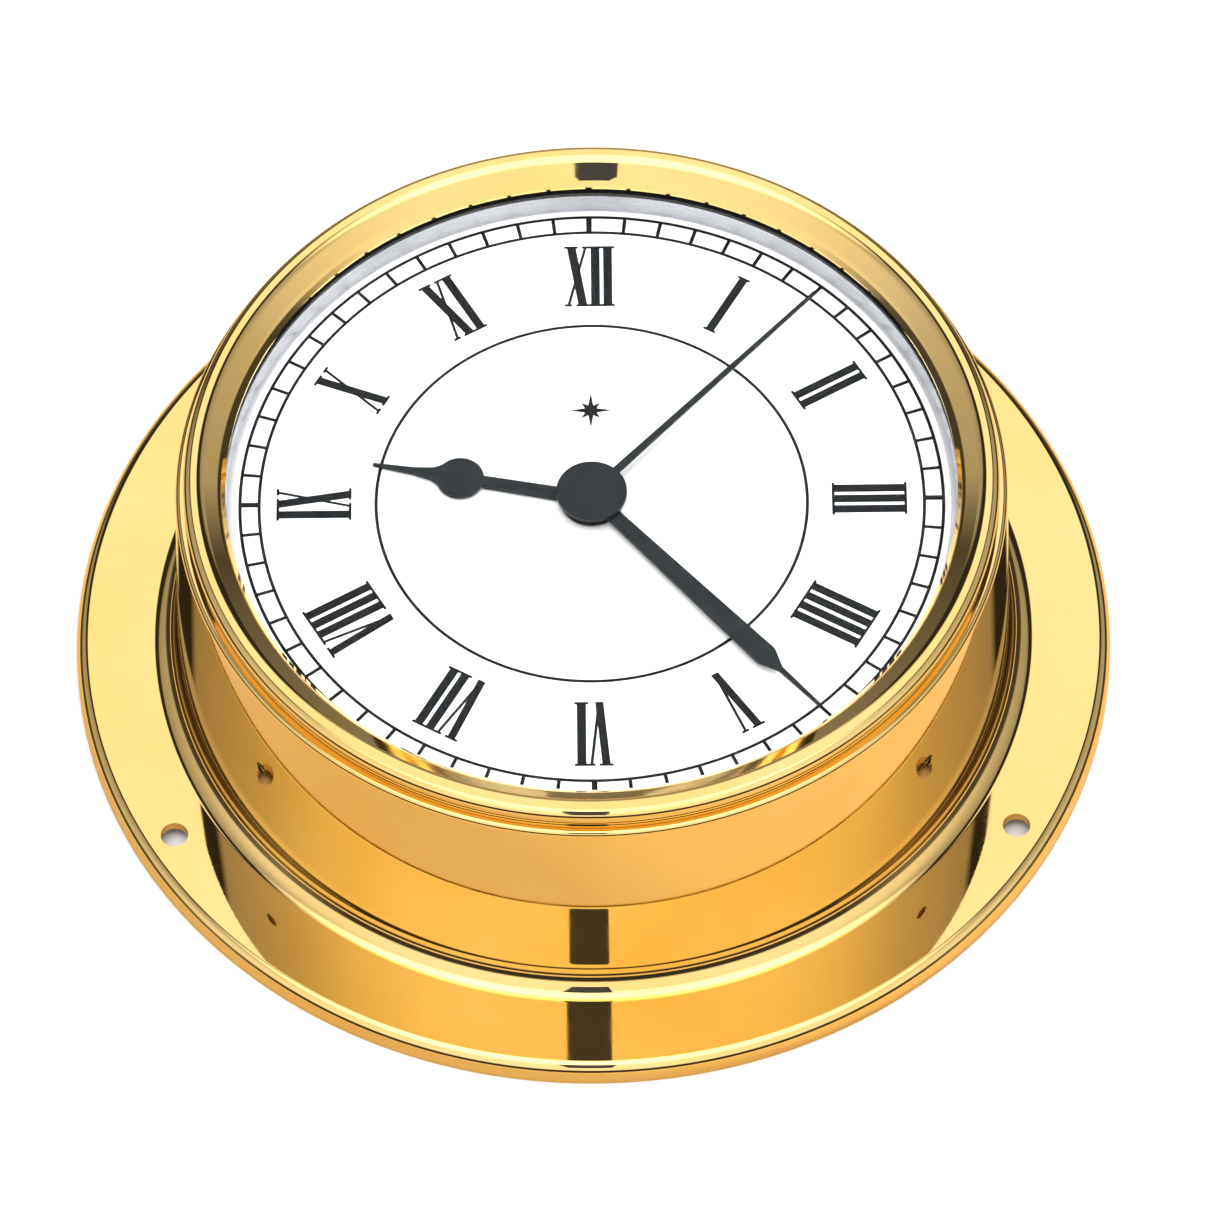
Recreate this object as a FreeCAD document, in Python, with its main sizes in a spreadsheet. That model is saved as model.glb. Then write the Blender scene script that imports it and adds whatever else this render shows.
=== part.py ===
"""Brass ship's deck clock: a parametric document, one object for each physical piece.

Frame: the clock lies on its mounting flange. The origin is the middle of the mounting plane, +Z goes
out through the dial and +Y points to twelve o'clock. Millimetres.
"""
import FreeCAD
import Part
import Sketcher
import math
import os
import re

Vector = FreeCAD.Vector
Rotation = FreeCAD.Rotation

# Driving dimensions. Every size that can be chosen by itself is one cell of the sheet "Sizes".
SIZES = {
    # brass case and its flange
    "flange_dia": 110.0,
    "flange_height": 2.5,
    "flange_sheet": 1.1,
    "flange_round": 1.3,
    "foot_fillet": 2.6,
    "foot_dia": 88.6,
    "neck_dia": 86.6,
    "neck_bore": 84.4,
    "neck_round": 0.5,
    "bore_round": 0.8,
    "rim_inner_round": 0.6,
    "flange_hole_dia": 2.9,
    "flange_hole_ring": 102.0,
    "grub_hole_dia": 1.6,
    "grub_height": 17.2,
    "grub_angle": 52.0,
    "grub_recess": 0.35,
    # bezel, glass and dial
    "case_depth": 31.6,
    "bezel_height": 2.2,
    "bezel_dia": 84.9,
    "bezel_lap": 2.1,
    "bezel_lip": 0.3,
    "bezel_inner_width": 0.6,
    "bezel_inner_drop": 0.65,
    "bezel_slope_width": 2.0,
    "bezel_slope_drop": 1.2,
    "bezel_skirt": 4.6,
    "bezel_crest_round": 0.6,
    "bezel_shoulder": 0.6,
    "bezel_bead_width": 1.0,
    "bezel_bead_drop": 0.35,
    "bezel_bead_round": 0.7,
    "glass_dia": 80.4,
    "glass_thickness": 1.0,
    "glass_bevel": 0.2,
    "gasket_thickness": 0.5,
    "gasket_width": 2.0,
    "rehaut_height": 1.8,
    "rehaut_slope": 0.7,
    "dial_thickness": 0.6,
    "dial_foot_dia": 1.5,
    "dial_foot_inset": 7.2,
    "fit_gap": 0.05,
    "clearance": 0.2,
    # inner pan that carries the movement
    "carrier_plate": 1.1,
    "carrier_wall": 1.5,
    "carrier_height": 14.5,
    "carrier_gap": 0.3,
    "carrier_window": 12.0,
    # movement
    "movement_side": 56.0,
    "movement_depth": 15.7,
    "movement_corner": 6.0,
    "movement_wall": 1.4,
    "movement_front": 1.2,
    "cover_thickness": 1.4,
    "cover_inset": 0.5,
    "cover_corner": 2.0,
    "bearing_dia": 3.0,
    "bearing_height": 1.2,
    "screw_boss_dia": 4.4,
    "screw_boss_inset": 3.8,
    "screw_dia": 1.9,
    "screw_head_dia": 3.8,
    "screw_head_height": 0.95,
    "screw_edge_round": 0.3,
    "screw_slot_width": 0.5,
    "screw_slot_depth": 0.45,
    "screw_length": 5.0,
    "cell_dia": 14.2,
    "cell_length": 49.3,
    "cell_edge_round": 0.5,
    "cell_button_dia": 5.4,
    "cell_button": 1.0,
    "cell_play": 0.6,
    "contact_sheet": 0.4,
    "contact_width": 9.0,
    # shafts, from the middle outwards
    "seconds_shaft_dia": 0.8,
    "minute_tube_dia": 1.9,
    "hour_tube_dia": 3.8,
    "front_boss_dia": 5.8,
    "post_dia": 0.8,
    "rotor_post_dia": 0.4,
    "knob_shaft_dia": 2.0,
    "running_gap": 0.04,
    # wheels
    "wheel_thickness": 0.6,
    "level_gap": 0.35,
    "train_module": 0.2,
    "motor_module": 0.16,
    "drive_module": 0.28,
    "setting_module": 0.25,
    "rotor_magnet_dia": 4.0,
    "rotor_magnet_height": 1.6,
    "knob_dia": 8.4,
    "knob_height": 2.2,
    # hands: from the middle, with margins at the edge of the glass and the point beyond the shoulder
    "hub_dia": 7.4,
    "hub_rise": 0.2,
    "hand_sheet": 0.3,
    "hand_gap": 0.3,
    "seconds_hand_margin": 5.4,
    "minute_hand_margin": 4.9,
    "minute_hand_point": 8.3,
    "minute_hand_width": 2.5,
    "minute_hand_root": 1.5,
    "minute_hand_taper": 2.2,
    "hour_hand_length": 23.3,
    "hour_hand_bulge": 14.0,
    "hour_hand_bulge_dia": 5.0,
    "hour_hand_root": 1.7,
    "needle_width": 0.45,
    # electrical pieces
    "board_thickness": 1.0,
    "board_gap": 0.6,
    "board_inset": 1.0,
    "board_side_gap": 2.6,
    "board_depth": 16.0,
    "board_end": 5.0,
    "crystal_dia": 2.0,
    "crystal_length": 6.0,
    "crystal_inset": 5.0,
    "crystal_drop": 13.0,
    "chip_radius": 2.4,
    "chip_sink": 1.2,
    "chip_across": 12.0,
    "chip_up": 4.0,
    "stator_sheet": 0.8,
    "stator_air_gap": 0.4,
    "stator_pole": 3.7,
    "stator_shoe": 1.0,
    "stator_arm": 3.4,
    "stator_reach": 17.9,
    "core_width": 3.0,
    "core_sheet": 0.8,
    "coil_dia": 6.0,
    "coil_length": 15.4,
    "coil_flange": 0.8,
    "coil_rim": 0.3,
}

# Heights and radii that follow from the driving dimensions, as formulas of the sheet "Levels".
LEVELS = {
    "flange_radius": "Sizes.flange_dia / 2",
    "foot_radius": "Sizes.foot_dia / 2",
    "neck_radius": "Sizes.neck_dia / 2",
    "bore_radius": "Sizes.neck_bore / 2",
    "neck_height": "Sizes.case_depth - Sizes.bezel_height",
    "bezel_radius": "Sizes.bezel_dia / 2",
    "opening_radius": "Sizes.glass_dia / 2 - Sizes.bezel_lap",
    "glass_radius": "Sizes.glass_dia / 2",
    "seat_radius": "Sizes.glass_dia / 2 + Sizes.fit_gap",
    "lip_top": "Sizes.case_depth - Sizes.bezel_slope_drop - Sizes.bezel_inner_drop",
    "glass_top": "lip_top - Sizes.bezel_lip",
    "glass_bottom": "glass_top - Sizes.glass_thickness",
    "gasket_bottom": "glass_bottom - Sizes.gasket_thickness",
    "dial_top": "gasket_bottom - Sizes.rehaut_height",
    "dial_bottom": "dial_top - Sizes.dial_thickness",
    "skirt_bottom": "neck_height - Sizes.bezel_skirt",
    "carrier_bottom": "dial_bottom - Sizes.carrier_height",
    "carrier_radius": "Sizes.neck_bore / 2 - Sizes.carrier_gap",
    "plate_bottom": "dial_bottom - Sizes.carrier_plate",
    "movement_back": "plate_bottom - Sizes.movement_depth",
    "cover_top": "movement_back + Sizes.cover_thickness",
    "room_top": "plate_bottom - Sizes.movement_front",
    "half_side": "Sizes.movement_side / 2",
    "room_side": "Sizes.movement_side / 2 - Sizes.movement_wall",
    "cell_top": "room_top - Sizes.clearance",
    "cell_axis": "cell_top - Sizes.cell_dia / 2",
    "cell_middle": "Sizes.cell_dia / 2 + Sizes.cell_play - room_side",
    "bay_edge": "cell_middle + Sizes.cell_dia / 2 + Sizes.cell_play",
    "room_edge": "bay_edge + Sizes.movement_wall",
    "boss_side": "half_side - Sizes.screw_boss_inset",
    "boss_low": "room_edge + Sizes.screw_boss_dia / 2 + Sizes.clearance",
    "step": "Sizes.wheel_thickness + Sizes.level_gap",
    "hour_level": "room_top - Sizes.level_gap - Sizes.wheel_thickness",
    "motion_level": "hour_level - step - Sizes.level_gap",
    "centre_level": "motion_level - step - 2 * Sizes.level_gap",
    "third_level": "centre_level - step - Sizes.level_gap",
    "seconds_level": "third_level - step - Sizes.level_gap",
    "intermediate_level": "seconds_level - step - Sizes.level_gap",
    "magnet_level": "intermediate_level - Sizes.level_gap - Sizes.rotor_magnet_height",
    "stator_level": "magnet_level + (Sizes.rotor_magnet_height - Sizes.stator_sheet) / 2",
    "post_top": "centre_level + step",
    "hour_hand_level": "dial_top + Sizes.hand_gap",
    "minute_hand_level": "hour_hand_level + Sizes.hand_sheet + Sizes.hand_gap",
    "seconds_hand_level": "minute_hand_level + Sizes.hand_sheet + Sizes.hand_gap",
    "hub_top": "seconds_hand_level + Sizes.hand_sheet + Sizes.hub_rise",
    "dial_foot_ring": "Sizes.glass_dia - 2 * Sizes.dial_foot_inset",
    "seconds_hand_length": "glass_radius - Sizes.seconds_hand_margin",
    "minute_hand_length": "glass_radius - Sizes.minute_hand_margin",
    "minute_hand_shoulder": "minute_hand_length - Sizes.minute_hand_point",
    "board_bottom": "cover_top + Sizes.board_gap",
}

# Teeth of the wheels and pinions: motor 30:1, third wheel 60:1, motion work 12:1.
ROTOR_TEETH = 8
INTERMEDIATE_TEETH = 60
INTERMEDIATE_PINION = 8
SECONDS_TEETH = 32
SECONDS_PINION = 8
THIRD_TEETH = 60
THIRD_PINION = 8
CENTRE_TEETH = 64
CANNON_TEETH = 12
MOTION_TEETH = 36
MOTION_PINION = 10
HOUR_TEETH = 40
SETTING_TEETH = 12

# Directions of the axles round the middle, in degrees from +X.
THIRD_DIRECTION = 150.0
INTERMEDIATE_DIRECTION = -20.0
ROTOR_DIRECTION = -5.0
MOTION_DIRECTION = 60.0

# The time that the hands show.
HOURS, MINUTES, SECONDS = 9, 23, 7.2

FLANGE_HOLES = 3
KNOB_RIBS = 24
FULL_TURN = 360.0

# How far a cut starts outside the piece it cuts.
OVERRUN = 1.0

# Radii of the two cell contacts: at their sheet and where they touch the cell.
PLUS_CONE = (2.0, 1.2)
SPRING_CONE = (3.2, 1.8)

doc = FreeCAD.newDocument("DeckClock")
sub_parts = []


# ---------------------------------------------------------------- sheets and bindings

def fill_sheet(name, rows, formula):
    """A spreadsheet whose second column holds the values and carries their aliases."""
    sheet = doc.addObject("Spreadsheet::Sheet", name)
    for row, (alias, content) in enumerate(rows.items(), start=1):
        sheet.set("A%d" % row, alias)
        sheet.set("B%d" % row, formula % content)
        sheet.setAlias("B%d" % row, alias)
    doc.recompute()
    return sheet


sizes = fill_sheet("Sizes", SIZES, "%s")
levels = fill_sheet("Levels", LEVELS, "=%s")


def full(text):
    """The expression with the name of its sheet before each alias."""
    def with_sheet(found):
        word = found.group()
        home = "Sizes." if word in SIZES else "Levels." if word in LEVELS else ""
        return home + word
    return re.sub("[a-z_]+", with_sheet, str(text))


def value(text):
    """The present value of an expression."""
    return float(sizes.evalExpression(full(text)))


def bind(thing, prop, text):
    """Set a property of an object and keep it tied to the sheets."""
    thing.setExpression(prop, full(text))


# ---------------------------------------------------------------- building blocks

def new_body(label):
    body = doc.addObject("PartDesign::Body", label.title().replace("_", ""))
    body.Label = label
    sub_parts.append(body)
    return body


def new_sketch(body, role, height="0"):
    """A sketch on one of the body's own origin planes, moved along the plane's normal."""
    sketch = body.newObject("Sketcher::SketchObject", body.Name + "Sketch")
    plane = [item for item in body.Origin.OriginFeatures if item.Role == role][0]
    sketch.AttachmentSupport = [(plane, "")]
    sketch.MapMode = "FlatFace"
    if height != "0":
        bind(sketch, "AttachmentOffset.Base.z", height)
    return sketch


def hold_point(sketch, element, end, spot, place):
    """Tie one point of a sketch to two expressions."""
    for axis, text, number in zip(("DistanceX", "DistanceY"), spot, place):
        index = sketch.addConstraint(Sketcher.Constraint(axis, element, end, number))
        sketch.setExpression("Constraints[%d]" % index, full(text))


def add_outline(sketch, corners):
    """A closed outline. A corner is (x, y), or (x, y, radius) where it is rounded."""
    places = [Vector(value(corner[0]), value(corner[1]), 0) for corner in corners]
    count = len(corners)
    radii = [value(corner[2]) if len(corner) > 2 else 0.0 for corner in corners]
    arrive = []
    leave = []
    for index in range(count):
        here = places[index]
        before = (places[index - 1] - here).normalize()
        after = (places[(index + 1) % count] - here).normalize()
        half = before.getAngle(after) / 2
        reach = radii[index] / math.tan(half) if radii[index] else 0.0
        arrive.append(here + before * reach)
        leave.append(here + after * reach)
    lines = []
    for index in range(count):
        far = (index + 1) % count
        lines.append(sketch.addGeometry(Part.LineSegment(leave[index], arrive[far]), False))
    for index in range(count):
        line_in = lines[index - 1]
        line_out = lines[index]
        if not radii[index]:
            sketch.addConstraint(Sketcher.Constraint("Coincident", line_in, 2, line_out, 1))
            hold_point(sketch, line_out, 1, corners[index], places[index])
            continue
        add_round(sketch, line_in, line_out, corners[index], places[index],
                  arrive[index], leave[index], radii[index])


def add_round(sketch, line_in, line_out, corner, place, start, finish, radius):
    """Round one corner, keeping the sharp corner as a construction point."""
    toward = ((start + finish) * 0.5 - place).normalize()
    half_chord = (finish - start).Length / 2
    depth = math.sqrt(max((start - place).Length ** 2 + radius ** 2, 0.0))
    centre = place + toward * depth
    turn = (start - centre).cross(finish - centre).z
    first, last = (start, finish) if turn > 0 else (finish, start)
    angles = [math.atan2(spot.y - centre.y, spot.x - centre.x) for spot in (first, last)]
    circle = Part.Circle(centre, Vector(0, 0, 1), radius)
    arc = sketch.addGeometry(Part.ArcOfCircle(circle, angles[0], angles[1]), False)
    ends = (1, 2) if turn > 0 else (2, 1)
    sketch.addConstraint(Sketcher.Constraint("Tangent", line_in, 2, arc, ends[0]))
    sketch.addConstraint(Sketcher.Constraint("Tangent", arc, ends[1], line_out, 1))
    index = sketch.addConstraint(Sketcher.Constraint("Radius", arc, radius))
    sketch.setExpression("Constraints[%d]" % index, full(corner[2]))
    point = sketch.addGeometry(Part.Point(place), True)
    sketch.addConstraint(Sketcher.Constraint("PointOnObject", point, 1, line_in))
    sketch.addConstraint(Sketcher.Constraint("PointOnObject", point, 1, line_out))
    hold_point(sketch, point, 1, corner, place)


def add_circle(sketch, across, x="0", y="0"):
    """A circle tied to its diameter and to the place of its centre."""
    place = Vector(value(x), value(y), 0)
    circle = Part.Circle(place, Vector(0, 0, 1), value(across) / 2)
    element = sketch.addGeometry(circle, False)
    index = sketch.addConstraint(Sketcher.Constraint("Diameter", element, value(across)))
    sketch.setExpression("Constraints[%d]" % index, full(across))
    hold_point(sketch, element, 3, (x, y), place)


def add_rectangle(sketch, low_x, low_y, high_x, high_y, *radius):
    add_outline(sketch, [(low_x, low_y, *radius), (high_x, low_y, *radius),
                         (high_x, high_y, *radius), (low_x, high_y, *radius)])


def finish_feature(body, feature, cuts):
    """Recompute, and stop if a cut took nothing away or a pad added nothing."""
    before = body.Shape.Volume if body.Tip and not body.Shape.isNull() else 0.0
    body.Tip = feature
    doc.recompute()
    change = body.Shape.Volume - before
    if (change >= 0) if cuts else (change <= 0):
        raise RuntimeError("%s changed the volume by %.4f" % (feature.Name, change))
    return feature


def revolve(body, corners):
    """Turn an outline of (radius, height) corners into a round solid about Z."""
    sketch = new_sketch(body, "XZ_Plane")
    add_outline(sketch, corners)
    feature = body.newObject("PartDesign::Revolution", body.Name + "Turned")
    feature.Profile = sketch
    feature.ReferenceAxis = (sketch, ["V_Axis"])
    feature.Angle = FULL_TURN
    return finish_feature(body, feature, False)


def pad(body, sketch, length, down=False):
    feature = body.newObject("PartDesign::Pad", body.Name + "Pad")
    feature.Profile = sketch
    feature.Reversed = down
    bind(feature, "Length", length)
    return finish_feature(body, feature, False)


def pocket(body, sketch, length, up=False):
    """Cut a sketch into the body, downwards unless told otherwise."""
    feature = body.newObject("PartDesign::Pocket", body.Name + "Pocket")
    feature.Profile = sketch
    feature.Reversed = up
    bind(feature, "Length", length)
    return finish_feature(body, feature, True)


def round_pads(body, across, spots, height, length):
    """Round posts that stand up from one height, at (x, y) spots."""
    sketch = new_sketch(body, "XY_Plane", height)
    for x, y in spots:
        add_circle(sketch, across, x, y)
    return pad(body, sketch, length)


def round_pockets(body, across, spots, height, length):
    """Round holes that go down from one height, at (x, y) spots."""
    sketch = new_sketch(body, "XY_Plane", height)
    for x, y in spots:
        add_circle(sketch, across, x, y)
    return pocket(body, sketch, length)


def polar_spots(ring, angles):
    """Expressions for spots on a ring of the given diameter."""
    return [("%s / 2 * cos(%s)" % (ring, angle), "%s / 2 * sin(%s)" % (ring, angle))
            for angle in angles]


def ring_at(body, outer, inner, low, height):
    """A plain tube: outer and inner diameters, lower height and length."""
    sketch = new_sketch(body, "XY_Plane", low)
    add_circle(sketch, outer)
    add_circle(sketch, inner)
    return pad(body, sketch, height)


def solid(label, shape, axle_spot=None):
    """A sub-part that is one computed solid; a wheel is made on the Z axis and set at its axle."""
    feature = doc.addObject("Part::Feature", label.title().replace("_", ""))
    feature.Label = label
    feature.Shape = shape
    feature.Placement = FreeCAD.Placement(axle_spot or Vector(0, 0, 0), Rotation())
    sub_parts.append(feature)
    return feature


# ---------------------------------------------------------------- toothed wheels

ADDENDUM = 0.85
DEDENDUM = 1.2
TOOTH_SHARE = 0.36


def wheel_outline(teeth, module, phase):
    """The corners of a toothed outline; the first tooth points along the angle phase."""
    pitch = teeth * module / 2
    root = pitch - DEDENDUM * module
    tip = pitch + ADDENDUM * module
    share = TOOTH_SHARE * math.pi / teeth
    flank = ((root, 1.15 * share), (pitch, share), (tip, 0.45 * share))
    corners = []
    for tooth in range(teeth):
        middle = phase + 2 * math.pi * tooth / teeth
        for radius, half in flank:
            corners.append((radius, middle - half))
        for radius, half in reversed(flank):
            corners.append((radius, middle + half))
    return [Vector(radius * math.cos(angle), radius * math.sin(angle), 0)
            for radius, angle in corners]


def toothed(teeth, module, phase, low, height):
    """A toothed disc on the Z axis."""
    corners = wheel_outline(teeth, module, phase)
    face = Part.Face(Part.makePolygon(corners + corners[:1]))
    face.translate(Vector(0, 0, low))
    return face.extrude(Vector(0, 0, height))


def disc(across, low, height):
    return Part.makeCylinder(across / 2, height, Vector(0, 0, low))


def bored(pieces, across):
    """Fuse the pieces of one wheel and bore it."""
    whole = pieces[0]
    for piece in pieces[1:]:
        whole = whole.fuse(piece)
    box = whole.BoundBox
    return whole.cut(disc(across, box.ZMin - 1, box.ZLength + 2)).removeSplitter()


def mesh_phase(phase, teeth, start, other_teeth, finish):
    """The phase of the wheel at finish that meshes with the wheel at start."""
    line = math.atan2(finish.y - start.y, finish.x - start.x)
    return line + math.pi + (math.pi - teeth * (phase - line)) / other_teeth


def axle(start, distance, direction):
    angle = math.radians(direction)
    return start + Vector(distance * math.cos(angle), distance * math.sin(angle), 0)


def pitch_distance(teeth, other_teeth, module):
    return (teeth + other_teeth) * module / 2


MIDDLE = Vector(0, 0, 0)
TRAIN_MODULE = sizes.train_module
MOTOR_MODULE = sizes.motor_module
DRIVE_MODULE = sizes.drive_module
SETTING_MODULE = sizes.setting_module
THIRD_REACH = pitch_distance(THIRD_PINION, CENTRE_TEETH, TRAIN_MODULE)
THIRD_MODULE = THIRD_REACH / pitch_distance(SECONDS_PINION, THIRD_TEETH, 1.0)
MOTION_REACH = pitch_distance(CANNON_TEETH, MOTION_TEETH, SETTING_MODULE)
HOUR_MODULE = MOTION_REACH / pitch_distance(MOTION_PINION, HOUR_TEETH, 1.0)
SETTING_REACH = pitch_distance(MOTION_TEETH, SETTING_TEETH, SETTING_MODULE)
INTERMEDIATE_REACH = pitch_distance(INTERMEDIATE_PINION, SECONDS_TEETH, DRIVE_MODULE)
ROTOR_REACH = pitch_distance(ROTOR_TEETH, INTERMEDIATE_TEETH, MOTOR_MODULE)

THIRD_AXLE = axle(MIDDLE, THIRD_REACH, THIRD_DIRECTION)
INTERMEDIATE_AXLE = axle(MIDDLE, INTERMEDIATE_REACH, INTERMEDIATE_DIRECTION)
ROTOR_AXLE = axle(INTERMEDIATE_AXLE, ROTOR_REACH, ROTOR_DIRECTION)
MOTION_AXLE = axle(MIDDLE, MOTION_REACH, MOTION_DIRECTION)
SETTING_AXLE = axle(MOTION_AXLE, SETTING_REACH, MOTION_DIRECTION)

THICK = sizes.wheel_thickness
GAP = sizes.level_gap
RUN = 2 * sizes.running_gap


# ---------------------------------------------------------------- brass case and bezel

def make_mounting_case():
    """Turned brass case: flange with a turned-down rim, filleted foot and tapered wall."""
    body = new_body("mounting_case")
    revolve(body, [
        ("bore_radius", "neck_height"),
        ("bore_radius", "flange_height - flange_sheet", "bore_round"),
        ("flange_radius - flange_sheet", "flange_height - flange_sheet", "rim_inner_round"),
        ("flange_radius - flange_sheet", "0"),
        ("flange_radius", "0"),
        ("flange_radius", "flange_height", "flange_round"),
        ("foot_radius", "flange_height", "foot_fillet"),
        ("neck_radius", "neck_height", "neck_round")])
    sketch = new_sketch(body, "XY_Plane", "flange_height + 1")
    add_circle(sketch, "flange_hole_dia", "0", "flange_hole_ring / 2")
    hole = pocket(body, sketch, "flange_height + 2")
    pattern = body.newObject("PartDesign::PolarPattern", "FlangeHoles")
    pattern.Originals = [hole]
    axis = [item for item in body.Origin.OriginFeatures if item.Role == "Z_Axis"][0]
    pattern.Axis = (axis, [""])
    pattern.Angle = FULL_TURN
    pattern.Occurrences = FLANGE_HOLES
    finish_feature(body, pattern, True)
    for direction in grub_directions():
        sketch = radial_sketch(body, direction, "bore_radius - 1")
        add_circle(sketch, "grub_hole_dia")
        pocket(body, sketch, "foot_radius - bore_radius + 3", up=True)


def grub_directions():
    """Directions of the grub screws from +X: two beside six o'clock and one at twelve."""
    return ("270 - grub_angle", "270 + grub_angle", "90")


def radial_sketch(body, direction, radius):
    """A sketch that faces outwards at one direction, radius from the axis, at the grub height."""
    sketch = new_sketch(body, "XY_Plane")
    angle = value(direction)
    turn = Rotation(Vector(0, 0, 1), angle).multiply(Rotation(Vector(0, 1, 0), 90))
    sketch.AttachmentOffset = FreeCAD.Placement(Vector(0, 0, 0), turn)
    bind(sketch, "AttachmentOffset.Base.x", "(%s) * cos(%s)" % (radius, direction))
    bind(sketch, "AttachmentOffset.Base.y", "(%s) * sin(%s)" % (radius, direction))
    bind(sketch, "AttachmentOffset.Base.z", "grub_height")
    return sketch


def make_bezel_ring():
    """Screwed bezel: a rounded bead, two slopes down to the glass and a skirt in the case's neck."""
    body = new_body("bezel_ring")
    inner_slope = "opening_radius + bezel_inner_width"
    crest = "opening_radius + bezel_inner_width + bezel_slope_width"
    revolve(body, [
        ("seat_radius", "skirt_bottom"),
        ("bore_radius - fit_gap", "skirt_bottom"),
        ("bore_radius - fit_gap", "neck_height"),
        ("bezel_radius", "neck_height + bezel_shoulder", "bezel_shoulder / 2"),
        ("bezel_radius", "case_depth - bezel_bead_drop", "bezel_bead_round"),
        ("bezel_radius - bezel_bead_width", "case_depth", "bezel_crest_round"),
        (crest, "case_depth", "bezel_crest_round"),
        (inner_slope, "case_depth - bezel_slope_drop"),
        ("opening_radius", "lip_top"),
        ("opening_radius", "glass_top"),
        ("seat_radius", "glass_top")])


def make_glass_and_seals():
    """Flat glass, its rubber gasket and the sloped silver ring that rests on the dial."""
    body = new_body("glass_lens")
    revolve(body, [("0", "glass_bottom"), ("glass_radius", "glass_bottom"),
                   ("glass_radius", "glass_top - glass_bevel"), ("glass_radius - glass_bevel", "glass_top"),
                   ("0", "glass_top")])
    body = new_body("lens_gasket")
    ring_at(body, "glass_dia", "glass_dia - 2 * gasket_width", "gasket_bottom", "gasket_thickness")
    body = new_body("rehaut_ring")
    inner = "glass_radius - gasket_width"
    revolve(body, [(inner + " - rehaut_slope", "dial_top"), ("glass_radius", "dial_top"),
                   ("glass_radius", "gasket_bottom"), (inner, "gasket_bottom")])


def make_dial_plate():
    """Dial: a thin disc with a middle hole and two feet behind it."""
    body = new_body("dial_plate")
    ring_at(body, "glass_dia", "front_boss_dia + 2 * fit_gap", "dial_bottom", "dial_thickness")
    round_pads(body, "dial_foot_dia", polar_spots("dial_foot_ring", ("0", "180")),
               "plate_bottom + clearance / 2", "carrier_plate - clearance / 2 + dial_thickness / 2")


def make_movement_carrier():
    """Inner pan: a plate behind the dial with a wall that the grub screws clamp."""
    body = new_body("movement_carrier")
    revolve(body, [
        ("carrier_window / 2", "plate_bottom"),
        ("carrier_radius - carrier_wall", "plate_bottom"),
        ("carrier_radius - carrier_wall", "carrier_bottom"),
        ("carrier_radius", "carrier_bottom"),
        ("carrier_radius", "skirt_bottom - clearance"),
        ("seat_radius - 2 * fit_gap", "skirt_bottom - clearance"),
        ("seat_radius - 2 * fit_gap", "dial_bottom"),
        ("carrier_window / 2", "dial_bottom")])
    round_pockets(body, "dial_foot_dia + 2 * fit_gap", polar_spots("dial_foot_ring", ("0", "180")),
                  "dial_bottom + 1", "carrier_plate + 2")
    round_pockets(body, "screw_dia + 2 * fit_gap", boss_spots(), "dial_bottom + 1", "carrier_plate + 2")
    round_pockets(body, "screw_head_dia + 2 * fit_gap", boss_spots(), "dial_bottom", "screw_head_height")


def boss_spots():
    """The four screw bosses of the movement."""
    return [("boss_side", "boss_side"), ("-boss_side", "boss_side"),
            ("-boss_side", "boss_low"), ("boss_side", "boss_low")]


# ---------------------------------------------------------------- movement housing

def make_movement_case():
    """Plastic housing, open behind: a wheel room, a bay for the cell and a boss through the dial."""
    body = new_body("movement_case")
    sketch = new_sketch(body, "XY_Plane", "cover_top")
    add_rectangle(sketch, "-half_side", "-half_side", "half_side", "half_side", "movement_corner")
    pad(body, sketch, "plate_bottom - cover_top")
    sketch = new_sketch(body, "XY_Plane", "cover_top - 1")
    add_rectangle(sketch, "-room_side", "room_edge", "room_side", "room_side", "movement_wall * 2")
    pocket(body, sketch, "room_top - cover_top + 1", up=True)
    sketch = new_sketch(body, "XY_Plane", "cover_top - 1")
    add_rectangle(sketch, "-room_side", "-room_side", "room_side", "bay_edge", "movement_wall * 2")
    pocket(body, sketch, "room_top - cover_top + 1", up=True)
    round_pads(body, "screw_boss_dia", boss_spots(), "cover_top", "room_top - cover_top + clearance / 2")
    round_pads(body, "front_boss_dia", [("0", "0")], "plate_bottom - clearance / 2",
               "dial_top - plate_bottom + clearance / 2")
    round_pockets(body, "hour_tube_dia + 2 * running_gap", [("0", "0")], "dial_top + 1",
                  "dial_top - room_top + 2")
    round_pockets(body, "screw_dia", boss_spots(), "plate_bottom", "screw_length + 1")
    sketch = new_sketch(body, "XY_Plane", "cover_top - 1")
    for x, y in boss_spots():
        add_circle(sketch, "screw_dia", x, y)
    pocket(body, sketch, "screw_length", up=True)


def make_movement_cover():
    """Rear cover over the wheel room, with a bearing for the seconds shaft."""
    body = new_body("movement_cover")
    sketch = new_sketch(body, "XY_Plane", "movement_back")
    add_rectangle(sketch, "-half_side + cover_inset", "bay_edge + clearance",
                  "half_side - cover_inset", "half_side - cover_inset", "cover_corner")
    pad(body, sketch, "cover_thickness")
    round_pads(body, "bearing_dia", [("0", "0")], "cover_top - clearance / 2",
               "bearing_height + clearance / 2")
    round_pockets(body, "seconds_shaft_dia + 2 * running_gap", [("0", "0")],
                  "cover_top + 2 * bearing_height", "2 * bearing_height + clearance")
    knob_spot = (str(SETTING_AXLE.x), str(SETTING_AXLE.y))
    round_pockets(body, "knob_shaft_dia + 2 * running_gap", [knob_spot], "cover_top + 1",
                  "cover_thickness + 2")
    round_pockets(body, "screw_dia + 2 * fit_gap", boss_spots(), "cover_top + 1", "cover_thickness + 2")


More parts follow.
